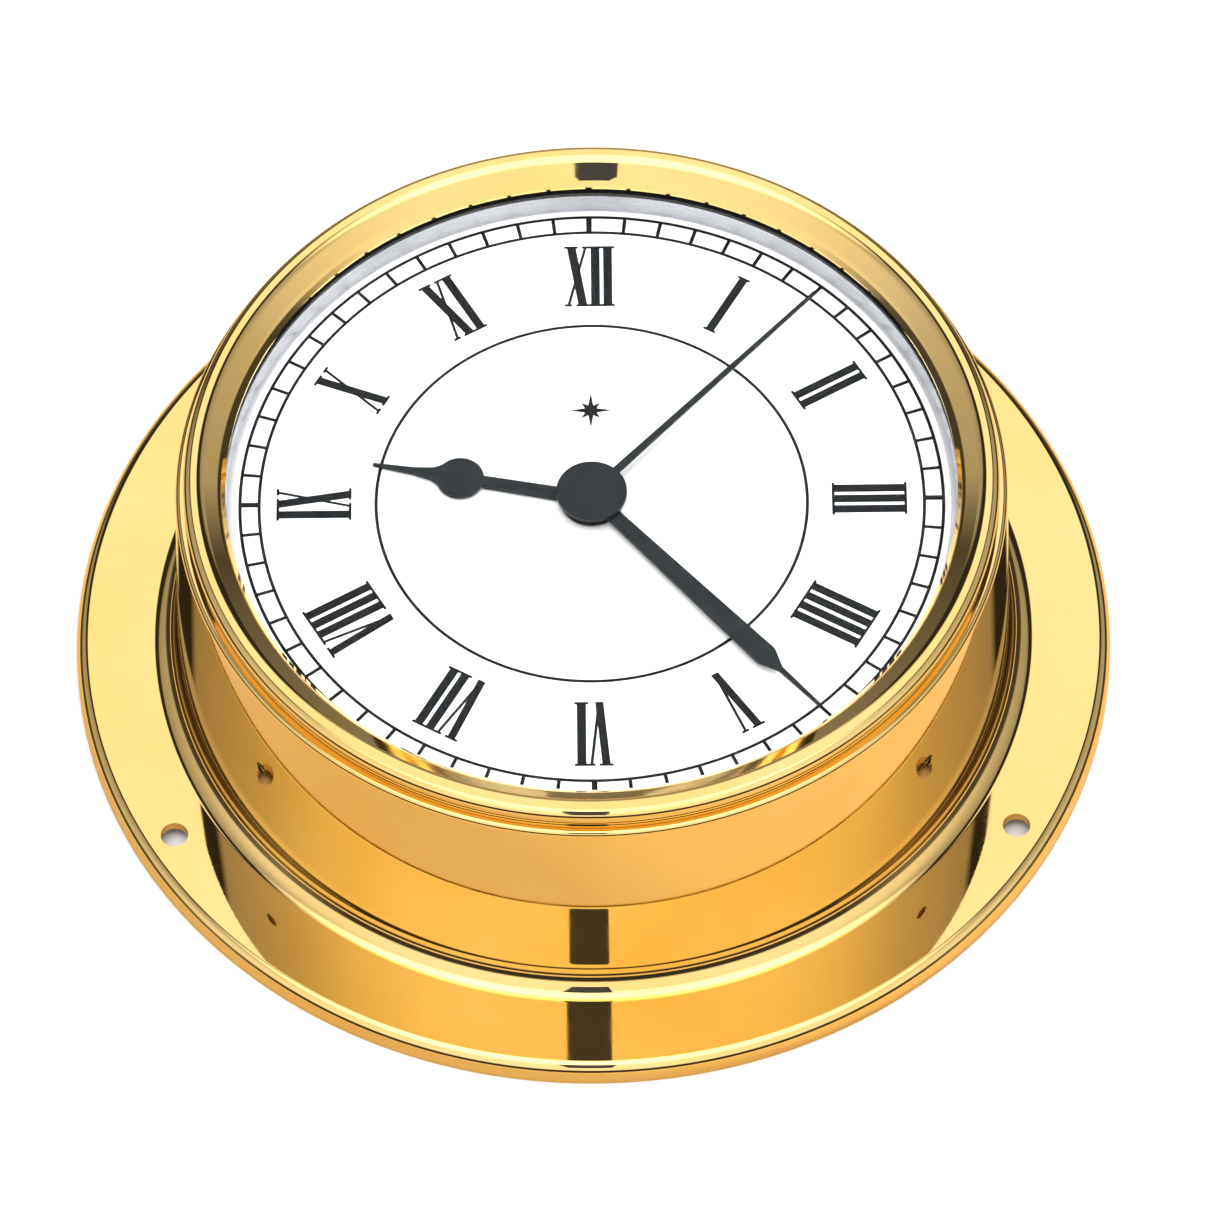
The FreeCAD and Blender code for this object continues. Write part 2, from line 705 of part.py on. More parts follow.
def screw_group(label, spots, head_low, head_height, top_across, shank_low, shank_height):
    """Like screws as one group: heads from one height, shanks from another."""
    shapes = []
    across = value("screw_dia")
    for x, y in spots:
        place = Vector(value(x), value(y), 0)
        head = Part.makeCone(across / 2, top_across / 2, head_height, place + Vector(0, 0, head_low))
        shank = Part.makeCylinder(across / 2, shank_height, place + Vector(0, 0, shank_low))
        shapes.append(head.fuse(shank).removeSplitter())
    return solid(label, Part.makeCompound(shapes))


def make_screws():
    """Countersunk screws behind the dial, pan screws on the cover and the three grub screws."""
    head = sizes.screw_head_height
    low = levels.plate_bottom - sizes.screw_length
    screw_group("movement_screws", boss_spots(), levels.dial_bottom - head, head, sizes.screw_head_dia,
                low, levels.dial_bottom - head - low)
    shapes = []
    for x, y in boss_spots():
        place = Vector(value(x), value(y), 0)
        top = Part.makeCylinder(sizes.screw_head_dia / 2 - sizes.clearance, head,
                                place + Vector(0, 0, levels.movement_back - head))
        rim = [edge for edge in top.Edges if abs(edge.BoundBox.ZMax - levels.movement_back + head) < 1e-6]
        top = top.makeFillet(sizes.screw_edge_round, [edge for edge in rim if edge.BoundBox.ZLength < 1e-6])
        slot = Part.makeBox(sizes.screw_head_dia, sizes.screw_slot_width, sizes.screw_slot_depth)
        slot.translate(place + Vector(-sizes.screw_head_dia / 2, -sizes.screw_slot_width / 2,
                                      levels.movement_back - head))
        shank = Part.makeCylinder(sizes.screw_dia / 2, sizes.screw_length + sizes.cover_thickness
                                  - OVERRUN - sizes.clearance,
                                  place + Vector(0, 0, levels.movement_back))
        shapes.append(top.cut(slot).fuse(shank).removeSplitter())
    solid("cover_screws", Part.makeCompound(shapes))
    shapes = []
    inner = levels.carrier_radius
    outer = (levels.foot_radius + levels.neck_radius) / 2 - sizes.grub_recess
    for direction in grub_directions():
        angle = math.radians(value(direction))
        out = Vector(math.cos(angle), math.sin(angle), 0)
        place = out * inner + Vector(0, 0, sizes.grub_height)
        pin = Part.makeCylinder(sizes.grub_hole_dia / 2, outer - inner, place, out)
        depth = sizes.grub_hole_dia / 3
        mouth = place + out * (outer - inner - depth)
        socket = Part.makeCylinder(sizes.grub_hole_dia / 4, depth, mouth, out)
        shapes.append(pin.cut(socket))
    wall_side = Part.makeCylinder(inner, levels.dial_top)
    solid("case_grub_screws", Part.makeCompound([pin.cut(wall_side) for pin in shapes]))


# ---------------------------------------------------------------- cell, contacts, circuit and motor

def make_cell():
    """Dry cell lying along X with its button end at +X."""
    axis_height = levels.cell_axis
    start = Vector(-sizes.cell_length / 2 - sizes.cell_button / 2, levels.cell_middle, axis_height)
    along = Vector(1, 0, 0)
    can = Part.makeCylinder(sizes.cell_dia / 2, sizes.cell_length, start, along)
    ends = [edge for edge in can.Edges if edge.BoundBox.XLength < 1e-6]
    can = can.makeFillet(sizes.cell_edge_round, ends)
    button = Part.makeCylinder(sizes.cell_button_dia / 2, sizes.cell_button,
                               start + along * sizes.cell_length, along)
    solid("battery_cell", can.fuse(button).removeSplitter())
    low = axis_height - sizes.contact_width / 2
    room = levels.room_side
    side = levels.cell_middle - sizes.contact_width / 2
    plus = Part.makeBox(sizes.contact_sheet, sizes.contact_width, sizes.contact_width,
                        Vector(room - sizes.contact_sheet, side, low))
    reach = room - sizes.contact_sheet - (sizes.cell_length + sizes.cell_button) / 2
    start = Vector(room - sizes.contact_sheet, levels.cell_middle, axis_height)
    tip = Part.makeCone(*PLUS_CONE, reach, start, Vector(-1, 0, 0))
    solid("battery_contact_positive", plus.fuse(tip).removeSplitter())
    minus = Part.makeBox(sizes.contact_sheet, sizes.contact_width, sizes.contact_width,
                         Vector(-room, side, low))
    start = Vector(-room + sizes.contact_sheet, levels.cell_middle, axis_height)
    spring = Part.makeCone(*SPRING_CONE, reach, start, along)
    solid("battery_contact_negative", minus.fuse(spring).removeSplitter())


def make_circuit():
    """Circuit board on the cover's inner face, with the crystal can and the chip."""
    body = new_body("circuit_board")
    sketch = new_sketch(body, "XY_Plane", "board_bottom")
    add_rectangle(sketch, "-room_side + board_side_gap", "room_side - board_inset - board_depth",
                  "-board_end", "room_side - board_inset", "board_inset")
    pad(body, sketch, "board_thickness")
    round_pockets(body, "screw_boss_dia + 2 * clearance", [("-boss_side", "boss_side")],
                  "board_bottom + 2 * board_thickness", "3 * board_thickness")
    corner = Vector(sizes.crystal_inset - levels.room_side, levels.room_side - sizes.crystal_drop,
                    levels.board_bottom + sizes.board_thickness)
    radius = sizes.crystal_dia / 2
    can = Part.makeCylinder(radius, sizes.crystal_length, corner + Vector(0, 0, radius), Vector(1, 0, 0))
    solid("quartz_crystal", can)
    middle = corner + Vector(sizes.chip_across, sizes.chip_up, -sizes.chip_sink)
    low_angle = math.degrees(math.asin(sizes.chip_sink / sizes.chip_radius))
    chip = Part.makeSphere(sizes.chip_radius, middle, Vector(0, 0, 1), low_angle, 90)
    solid("control_chip", chip)


def make_motor():
    """Stepper motor: C-shaped stator sheet round the rotor, core bar and wound coil."""
    x = ROTOR_AXLE.x
    y = ROTOR_AXLE.y
    low = levels.stator_level
    right = levels.boss_side - sizes.screw_boss_dia / 2 - sizes.clearance
    pole = sizes.stator_pole
    arm = sizes.stator_arm
    low_edge = y - pole - sizes.stator_shoe
    high_edge = y + pole + sizes.stator_air_gap
    reach = y + sizes.stator_reach
    core_low = low + sizes.stator_sheet
    outline = [(x - pole, low_edge), (right, low_edge), (right, low_edge + arm),
               (x + pole, low_edge + arm), (x + pole, high_edge), (x + arm / 2, high_edge),
               (x + arm / 2, reach), (right, reach), (right, reach + arm), (x - arm, reach + arm),
               (x - arm, high_edge), (x - pole, high_edge)]
    corners = [Vector(spot[0], spot[1], low) for spot in outline]
    plate = Part.Face(Part.makePolygon(corners + corners[:1])).extrude(Vector(0, 0, sizes.stator_sheet))
    hole = Part.makeCylinder(sizes.rotor_magnet_dia / 2 + sizes.stator_air_gap,
                             sizes.stator_sheet + 2 * OVERRUN, Vector(x, y, low - OVERRUN))
    solid("stator_plate", plate.cut(hole))
    core_left = right - sizes.core_width
    core_length = reach + arm - (low_edge)
    core = Part.makeBox(sizes.core_width, core_length, sizes.core_sheet,
                        Vector(core_left, low_edge, core_low))
    solid("coil_core", core)
    middle = (low_edge + arm + reach) / 2
    start = Vector(core_left + sizes.core_width / 2, middle - sizes.coil_length / 2,
                   core_low + sizes.core_sheet / 2)
    along = Vector(0, 1, 0)
    winding = Part.makeCylinder(sizes.coil_dia / 2 - sizes.coil_rim, sizes.coil_length, start, along)
    flanges = [Part.makeCylinder(sizes.coil_dia / 2, sizes.coil_flange, start + along * offset, along)
               for offset in (0.0, sizes.coil_length - sizes.coil_flange)]
    coil = winding.fuse(flanges[0]).fuse(flanges[1]).cut(core)
    solid("drive_coil", coil.removeSplitter())


# ---------------------------------------------------------------- wheels and shafts

def make_train():
    """Motor rotor, intermediate, seconds and third wheels, from the motor to the centre wheel."""
    post = sizes.post_dia + RUN
    low = levels.magnet_level
    level = levels.intermediate_level
    intermediate_phase = 0.0
    rotor_phase = mesh_phase(intermediate_phase, INTERMEDIATE_TEETH, INTERMEDIATE_AXLE,
                             ROTOR_TEETH, ROTOR_AXLE)
    rotor_bore = sizes.rotor_post_dia + RUN
    magnet = disc(sizes.rotor_magnet_dia, low, sizes.rotor_magnet_height)
    solid("rotor_magnet", bored([magnet], rotor_bore), ROTOR_AXLE)
    pinion = toothed(ROTOR_TEETH, MOTOR_MODULE, rotor_phase, low + sizes.rotor_magnet_height,
                     level + THICK + GAP / 2 - low - sizes.rotor_magnet_height)
    solid("rotor_pinion", bored([pinion], rotor_bore), ROTOR_AXLE)

    seconds_phase = 0.0
    pinion_phase = mesh_phase(seconds_phase, SECONDS_TEETH, MIDDLE, INTERMEDIATE_PINION, INTERMEDIATE_AXLE)
    wheel = toothed(INTERMEDIATE_TEETH, MOTOR_MODULE, intermediate_phase, level, THICK)
    pinion = toothed(INTERMEDIATE_PINION, DRIVE_MODULE, pinion_phase, level + THICK,
                     levels.seconds_level + THICK + GAP / 2 - level - THICK)
    solid("intermediate_wheel", bored([wheel, pinion], post), INTERMEDIATE_AXLE)

    level = levels.seconds_level
    pinion_phase = 0.0
    third_phase = mesh_phase(pinion_phase, SECONDS_PINION, MIDDLE, THIRD_TEETH, THIRD_AXLE)
    wheel = toothed(SECONDS_TEETH, DRIVE_MODULE, seconds_phase, level, THICK)
    pinion = toothed(SECONDS_PINION, THIRD_MODULE, pinion_phase, level + THICK,
                     levels.third_level + THICK + GAP / 2 - level - THICK)
    solid("seconds_wheel", bored([wheel, pinion], sizes.seconds_shaft_dia), MIDDLE)

    level = levels.third_level
    wheel = toothed(THIRD_TEETH, THIRD_MODULE, third_phase, level, THICK)
    pinion = toothed(THIRD_PINION, TRAIN_MODULE, 0.0, level + THICK,
                     levels.centre_level + THICK + GAP / 2 - level - THICK)
    solid("third_wheel", bored([wheel, pinion], post), THIRD_AXLE)

    centre_phase = mesh_phase(0.0, THIRD_PINION, THIRD_AXLE, CENTRE_TEETH, MIDDLE)
    wheel = toothed(CENTRE_TEETH, TRAIN_MODULE, centre_phase, levels.centre_level, THICK)
    solid("centre_wheel", bored([wheel], sizes.minute_tube_dia), MIDDLE)


def make_motion_work():
    """Cannon pinion and tube, motion wheel, hour wheel and tube, setting pinion."""
    level = levels.motion_level
    cannon_phase = 0.0
    motion_phase = mesh_phase(cannon_phase, CANNON_TEETH, MIDDLE, MOTION_TEETH, MOTION_AXLE)
    setting_phase = mesh_phase(motion_phase, MOTION_TEETH, MOTION_AXLE, SETTING_TEETH, SETTING_AXLE)
    hour_phase = mesh_phase(0.0, MOTION_PINION, MOTION_AXLE, HOUR_TEETH, MIDDLE)

    foot = levels.centre_level - GAP / 2
    tube = disc(sizes.minute_tube_dia, foot, levels.minute_hand_level + sizes.hand_sheet - foot)
    pinion = toothed(CANNON_TEETH, SETTING_MODULE, cannon_phase, level - GAP / 2, THICK + GAP)
    solid("minute_tube", bored([tube, pinion], sizes.seconds_shaft_dia + RUN), MIDDLE)

    wheel = toothed(MOTION_TEETH, SETTING_MODULE, motion_phase, level, THICK)
    pinion = toothed(MOTION_PINION, HOUR_MODULE, 0.0, level + THICK,
                     levels.hour_level + THICK + GAP / 2 - level - THICK)
    solid("motion_wheel", bored([wheel, pinion], sizes.post_dia + RUN), MOTION_AXLE)

    wheel = toothed(HOUR_TEETH, HOUR_MODULE, hour_phase, levels.hour_level, THICK)
    tube = disc(sizes.hour_tube_dia, levels.hour_level,
                levels.hour_hand_level + sizes.hand_sheet - levels.hour_level)
    solid("hour_wheel", bored([wheel, tube], sizes.minute_tube_dia + RUN), MIDDLE)

    pinion = toothed(SETTING_TEETH, SETTING_MODULE, setting_phase, level - GAP / 2, THICK + GAP)
    solid("setting_pinion", bored([pinion], sizes.knob_shaft_dia / 2), SETTING_AXLE)


def make_posts():
    """Steel posts that the wheels turn on, and the seconds shaft."""
    low = levels.cover_top
    heights = ((THIRD_AXLE, sizes.post_dia, levels.post_top),
               (INTERMEDIATE_AXLE, sizes.post_dia, levels.seconds_level + THICK + GAP),
               (ROTOR_AXLE, sizes.rotor_post_dia, levels.intermediate_level + THICK + GAP))
    posts = [Part.makeCylinder(across / 2, top - low, spot + Vector(0, 0, low))
             for spot, across, top in heights]
    solid("wheel_posts", Part.makeCompound(posts))
    motion_low = levels.motion_level - GAP
    post = Part.makeCylinder(sizes.post_dia / 2, levels.room_top - motion_low,
                             MOTION_AXLE + Vector(0, 0, motion_low))
    solid("motion_post", post)
    shaft_low = levels.cover_top - sizes.clearance / 2
    shaft = disc(sizes.seconds_shaft_dia, shaft_low, levels.hub_top - sizes.hand_sheet / 2 - shaft_low)
    solid("seconds_arbor", shaft)


def make_setting_knob():
    """Ribbed knob behind the cover; its shaft reaches forward to the setting pinion."""
    top = levels.movement_back - sizes.wheel_thickness / 2
    grip = toothed(KNOB_RIBS, sizes.knob_dia / (KNOB_RIBS + 2 * ADDENDUM), 0.0,
                   top - sizes.knob_height, sizes.knob_height)
    shaft = disc(sizes.knob_shaft_dia, top, levels.motion_level - GAP / 2 - top)
    pivot = disc(sizes.knob_shaft_dia / 2, levels.motion_level - GAP / 2, THICK + GAP)
    knob = grip.fuse(shaft).fuse(pivot).removeSplitter()
    solid("setting_knob", knob, SETTING_AXLE)


# ---------------------------------------------------------------- hands

def new_hand(label, turn):
    """A hand is drawn towards twelve o'clock and turned clockwise."""
    body = new_body(label)
    body.Placement = FreeCAD.Placement(Vector(0, 0, 0), Rotation(Vector(0, 0, 1), -turn))
    return body


def add_blade(body, level, stations):
    """A flat blade, symmetrical about Y: stations are (distance, width), ending in a point."""
    sketch = new_sketch(body, "XY_Plane", level)
    right = [("(%s) / 2" % width, distance) for distance, width in stations]
    left = [("-(%s) / 2" % width, distance) for distance, width in reversed(stations)]
    add_outline(sketch, right + left)
    return pad(body, sketch, "hand_sheet")


def make_hands():
    """Hour, minute and seconds hands with their round middles."""
    seconds_turn = SECONDS * 6.0
    minute_turn = MINUTES * 6.0 + SECONDS / 10.0
    hour_turn = HOURS * 30.0 + MINUTES / 2.0 + SECONDS / 120.0

    body = new_hand("hour_hand", hour_turn)
    add_blade(body, "hour_hand_level", [("0", "hour_hand_root"),
                                        ("hour_hand_bulge", "hour_hand_root * 0.8"),
                                        ("hour_hand_bulge + hour_hand_bulge_dia * 0.35",
                                         "hour_hand_bulge_dia * 0.6"),
                                        ("hour_hand_bulge + hour_hand_bulge_dia * 0.6",
                                         "hour_hand_bulge_dia * 0.3"),
                                        ("hour_hand_bulge + hour_hand_bulge_dia", "needle_width * 1.8"),
                                        ("hour_hand_length", "needle_width * 0.7")])
    round_pads(body, "hour_hand_bulge_dia", [("0", "hour_hand_bulge")], "hour_hand_level", "hand_sheet")
    round_pads(body, "hub_dia * 0.9", [("0", "0")], "hour_hand_level", "hand_sheet")
    round_pockets(body, "hour_tube_dia", [("0", "0")], "hour_hand_level + 1", "3")

    body = new_hand("minute_hand", minute_turn)
    add_blade(body, "minute_hand_level", [("0", "minute_hand_root"),
                                          ("minute_hand_shoulder", "minute_hand_width"),
                                          ("minute_hand_shoulder + minute_hand_taper",
                                           "needle_width * 1.3"),
                                          ("minute_hand_length", "needle_width * 0.7")])
    round_pads(body, "hub_dia * 0.8", [("0", "0")], "minute_hand_level", "hand_sheet")
    round_pockets(body, "minute_tube_dia", [("0", "0")], "minute_hand_level + 1", "3")

    body = new_hand("seconds_hand", seconds_turn)
    add_blade(body, "seconds_hand_level", [("0", "needle_width * 2"),
                                           ("seconds_hand_length", "needle_width * 0.8")])
    round_pads(body, "hub_dia", [("0", "0")], "seconds_hand_level", "hub_top - seconds_hand_level")
    sketch = new_sketch(body, "XY_Plane", "seconds_hand_level - 1")
    add_circle(sketch, "seconds_shaft_dia")
    pocket(body, sketch, "hub_top - hand_sheet / 2 - seconds_hand_level + 1", up=True)


# ---------------------------------------------------------------- build and write

def check_and_write():
    """Stop on any failed object or bad shape, then write one file for each sub-part."""
    doc.recompute()
    for thing in doc.Objects:
        if "Invalid" in thing.State or "Error" in thing.State:
            raise RuntimeError("%s failed: %s" % (thing.Label, thing.State))
    for part in sub_parts:
        if part.Shape.isNull() or not part.Shape.isValid():
            raise RuntimeError("bad shape: " + part.Label)
    os.makedirs("parts", exist_ok=True)
    for part in sub_parts:
        part.Shape.exportStep(os.path.join("parts", part.Label + ".step"))
        print("%-26s %2d solids %10.2f mm3" % (part.Label, len(part.Shape.Solids), part.Shape.Volume))


make_mounting_case()
make_bezel_ring()
make_glass_and_seals()
make_dial_plate()
make_movement_carrier()
make_movement_case()
make_movement_cover()
make_screws()
make_cell()
make_circuit()
make_motor()
make_train()
make_motion_work()
make_posts()
make_setting_knob()
make_hands()
check_and_write()
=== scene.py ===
"""Ship's deck clock: a polished brass case on a drilled flange, a glazed bezel, a white enamelled dial and
the quartz movement behind it. The sizes that the frame gives are read from it; the rest stand in the two
property groups. Lengths are in metres and Z rises from the bulkhead through the dial."""

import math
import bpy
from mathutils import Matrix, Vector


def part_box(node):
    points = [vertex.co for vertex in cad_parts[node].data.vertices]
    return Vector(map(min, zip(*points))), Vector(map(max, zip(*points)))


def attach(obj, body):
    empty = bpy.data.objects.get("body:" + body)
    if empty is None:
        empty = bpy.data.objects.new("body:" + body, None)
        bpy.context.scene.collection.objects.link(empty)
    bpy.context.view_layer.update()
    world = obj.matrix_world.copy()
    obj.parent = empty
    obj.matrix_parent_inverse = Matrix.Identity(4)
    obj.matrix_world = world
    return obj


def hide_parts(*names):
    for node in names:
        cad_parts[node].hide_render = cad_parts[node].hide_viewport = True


bl_info = {
    "name": "Ship's Deck Clock",
    "version": (1, 0, 0),
    "blender": (4, 5, 0),
    "location": "3D View > Sidebar > Deck Clock",
    "description": "Builds the brass, glass, dial print, hands and movement of a ship's deck clock",
    "category": "Object",
}

from functools import partial

import bmesh
import bpy
import numpy as np
from bpy.props import FloatProperty, FloatVectorProperty, IntProperty, PointerProperty
from bpy.types import Operator, Panel, PropertyGroup
from mathutils import Matrix, Quaternion, Vector
from mathutils.geometry import delaunay_2d_cdt

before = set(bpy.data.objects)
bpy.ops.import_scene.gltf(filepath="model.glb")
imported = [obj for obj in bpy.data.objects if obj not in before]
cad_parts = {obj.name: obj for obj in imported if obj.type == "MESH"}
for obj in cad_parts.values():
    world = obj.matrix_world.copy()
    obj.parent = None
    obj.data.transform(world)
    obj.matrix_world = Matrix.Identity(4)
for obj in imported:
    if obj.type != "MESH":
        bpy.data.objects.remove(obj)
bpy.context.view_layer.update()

MM = 0.001
DIAL_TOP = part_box("dial_plate")[1].z
CASE_RADIUS, CASE_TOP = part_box("mounting_case")[1].x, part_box("mounting_case")[1].z
BEZEL_RADIUS, BEZEL_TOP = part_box("bezel_ring")[1].x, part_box("bezel_ring")[1].z
BEZEL_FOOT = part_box("bezel_ring")[0].z
GLASS_BOTTOM, GLASS_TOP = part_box("glass_lens")[0].z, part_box("glass_lens")[1].z
GLASS_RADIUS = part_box("glass_lens")[1].x

HOURS = 12
MINUTES = 60
NUMERALS = ("XII", "I", "II", "III", "IIII", "V", "VI", "VII", "VIII", "IX", "X", "XI")
FLANGE_HOLE_BEARINGS = (0.0, 120.0, 240.0)
GRUB_HOLE_BEARINGS = (0.0, 128.0, 232.0)
SHARP_EDGE = math.cos(math.radians(35))
NEAR_PROFILE = 0.02 * MM
DRILL_FACETS = 64
WALL_CUT = 4 * MM
MERGE = 1e-5
BEVEL_FROM = math.radians(50)

# shares of a numeral's heavy stroke and of the star's radius
VEE_STROKE = 0.9
STAR_RAYS = 8
SHORT_RAY, RAY_HIP, RAY_HALF_WIDTH = 0.62, 0.22, 0.13

# the cell's printed band, its bare ends and their steel
CELL_BAND, CELL_END = 12.5 * MM, 1.7 * MM
CELL_STEEL = (0.68, 0.67, 0.64)

# stage: the floor's half width and drop, the lift and facets of the painted-shade sheet, lamps as (place,
# diameter), and the card behind the lens
FLOOR_REACH, FLOOR_DROP, SHADE_MIRROR_LIFT, SHADE_MIRROR_STEPS = 6.0, 0.02 * MM, 0.01 * MM, 96
KEY_LAMP = ((0.45, 0.55, 0.75), 0.35)
FILL_LAMP = ((-0.1, -0.1, 1.1), 0.9)
CARD_GAP = 0.02
CARD_FELT = (0.05, 0.065, 0.15), (0.06, 0.075, 0.17)
SENSOR_WIDTH = 36.0
LENS_RANGE = (0.01, 50.0)

# tent: brightness by direction, from 0 on the camera's side to 1 behind the clock, above and below the
# walls' lower edge; then the heights (Z of the direction) between which one gives way to the next
HIGH_TENT = ((0.0, 0.50), (0.30, 0.46), (0.44, 0.38), (0.58, 0.24), (0.68, 0.19), (0.78, 0.15), (0.81, 0.012),
             (0.90, 0.012), (0.93, 0.50), (1.0, 0.50))
LOW_TENT = ((0.0, 0.015), (0.30, 0.02), (0.40, 0.09), (0.50, 0.03), (0.75, 0.02), (0.88, 0.08), (1.0, 0.16))
WALL_EDGE, SKY_EDGE = (0.30, 0.42), (0.90, 0.96)
SEEN_TENT = (0.96, 0.96, 0.96, 1.0)


def length(name, description, millimetres, high=0.5):
    """A size that a user may change."""
    return FloatProperty(name=name, description=description, default=millimetres * MM, min=0.00001, max=high,
                         precision=5, unit="LENGTH")


def colour(name, description, default):
    """A colour that a user may change."""
    return FloatVectorProperty(name=name, description=description, default=default, size=3,
                               min=0.0, max=1.0, subtype="COLOR")


# ---------------- sizes, colours and studio

class DeckClockSizes(PropertyGroup):
    """Sizes of the visible pieces that the frame's boxes don't give."""

    lathe_steps: IntProperty(name="Lathe steps", description="Facets round a turned brass part",
                             default=384, min=48, max=1024)
    arc_step: FloatProperty(name="Arc step", description="Turn of a profile's arc between two points",
                            default=math.radians(7.5), subtype="ANGLE")
    bore_radius: length("Case bore", "Radius inside the case wall", 42.2)
    foot_radius: length("Wall foot", "Radius of the case wall at its foot", 44.3)
    neck_radius: length("Wall top", "Radius of the case wall under the bezel", 43.3)
    neck_round: length("Wall top edge", "Rounding of the wall's top edge", 0.5)
    foot_fillet: length("Foot hollow", "Hollow between wall and flange", 2.6)
    flange_height: length("Flange height", "Height of the flange's face above the bulkhead", 2.5)
    flange_sheet: length("Flange sheet", "Thickness of the brass at the flange", 1.1)
    flange_round: length("Flange edge", "Rounding of the flange's rim", 1.3)
    hollow_round: length("Inner hollow", "Rounding under the flange's rim", 0.6)
    bore_round: length("Bore edge", "Rounding where the bore meets the flange's underside", 0.8)
    hole_circle: length("Hole circle", "Radius of the circle of the mounting holes", 51.0)
    flange_hole: length("Mounting hole", "Diameter of a mounting hole", 2.9)
    grub_hole: length("Grub screw hole", "Diameter of a grub screw hole in the wall", 1.6)
    grub_height: length("Grub screw height", "Height of the grub screws above the bulkhead", 17.2)
    skirt_inner: length("Skirt inside", "Radius inside the bezel's threaded skirt", 40.25)
    skirt_outer: length("Skirt outside", "Radius outside the bezel's skirt", 42.15)
    bead_drop: length("Bead drop", "Fall of the bezel's outer bead from its crest", 0.35)
    skirt_top: length("Skirt shoulder", "Height of the shoulder under the bezel's bead", 29.75)
    bead_round: length("Bead rounding", "Rounding of the bezel's outer bead", 0.7)
    crest_round: length("Crest rounding", "Rounding of the bezel's crest", 0.6)
    slope_round: length("Slope rounding", "Rounding at the top and foot of the bezel's slope", 2.1)
    crest_outer: length("Crest outside", "Outer radius of the bezel's flat crest", 41.75)
    crest_inner: length("Crest inside", "Inner radius of the bezel's flat crest", 40.7)
    slope_foot: length("Slope foot", "Radius where the bezel's slope turns down", 38.7)
    slope_drop: length("Slope drop", "Fall of the bezel's slope from its crest", 1.2)
    opening_radius: length("Bezel opening", "Radius of the bezel's opening", 38.1)
    lip_top: length("Lip top", "Height of the lip over the glass", 29.75)
    pane_chamfer: length("Glass edge", "Chamfer round the glass", 0.15)
    print_lift: length("Print thickness", "Thickness of the printed ink on the dial", 0.012)
    hairline: length("Ring line", "Width of a printed ring", 0.36)
    track_inner: length("Track inside", "Radius of the minute track's inner ring", 34.7)
    track_outer: length("Track outside", "Radius of the minute track's outer ring", 36.7)
    tick: length("Minute tick", "Width of a minute tick", 0.4)
    quarter_tick: length("Quarter tick", "Width of the ticks at the quarter hours", 0.6)
    centre_ring: length("Centre ring", "Radius of the thin ring inside the numerals", 22.5)
    numeral_foot: length("Numeral foot", "Radius at the foot of the numerals", 25.05)
    numeral_height: length("Numeral height", "Height of the numerals", 7.85)
    stroke: length("Heavy stroke", "Width of a numeral's heavy stroke", 0.95)
    thin_stroke: length("Light stroke", "Width of a numeral's light stroke", 0.32)
    serif: length("Serif reach", "How far a serif stands beyond its stroke", 0.26)
    serif_height: length("Serif height", "Height of a serif", 0.3)
    letter_gap: length("Stroke gap", "Gap between two strokes of a numeral", 0.36)
    vee_width: length("V width", "Width of a V or an X between its outer edges", 2.2)
    vee_foot: length("V foot", "How far the foot of a V stands right of its middle", 0.1)
    star_radius: length("Compass star", "Radius of the compass star over the centre", 2.3)
    star_place: length("Star place", "Height of the compass star over the centre", 11.6)
    hand_bevel: length("Hand edge", "Bevel along the edges of the hands", 0.05)


class DeckClockColours(PropertyGroup):
    """Colours of the finishes."""

    brass: colour("Brass", "Polished brass", (0.92, 0.66, 0.27))
    brass_deep: colour("Deep brass", "Brass where the lacquer has warmed", (0.89, 0.60, 0.19))
    dial: colour("Dial", "White enamel of the dial", (0.75, 0.75, 0.74))
    ink: colour("Ink", "Dial print", (0.004, 0.005, 0.006))
    hand: colour("Hands", "Black lacquer of the hands", (0.005, 0.007, 0.008))
    silver: colour("Silver ring", "Satin ring between glass and dial", (0.50, 0.51, 0.55))
    rubber: colour("Gasket", "Black rubber gasket", (0.018, 0.018, 0.018))
    zinc: colour("Zinc", "Zinc plated pan behind the dial", (0.62, 0.63, 0.62))
    steel: colour("Steel", "Nickel plated screws and posts", (0.66, 0.65, 0.62))
    moulding: colour("Movement plastic", "Black moulding of the movement", (0.022, 0.022, 0.024))
    knob: colour("Knob plastic", "Plastic of the setting knob", (0.045, 0.045, 0.048))
    wheel: colour("Wheel plastic", "Acetal of the wheels", (0.72, 0.70, 0.62))
    jacket: colour("Cell jacket", "Printed jacket of the dry cell", (0.055, 0.09, 0.16))
    jacket_band: colour("Cell band", "Pale band at the cell's button end", (0.55, 0.56, 0.58))
    board: colour("Circuit board", "Solder mask of the circuit board", (0.02, 0.13, 0.05))
    copper: colour("Copper", "Enamelled winding wire", (0.72, 0.26, 0.09))


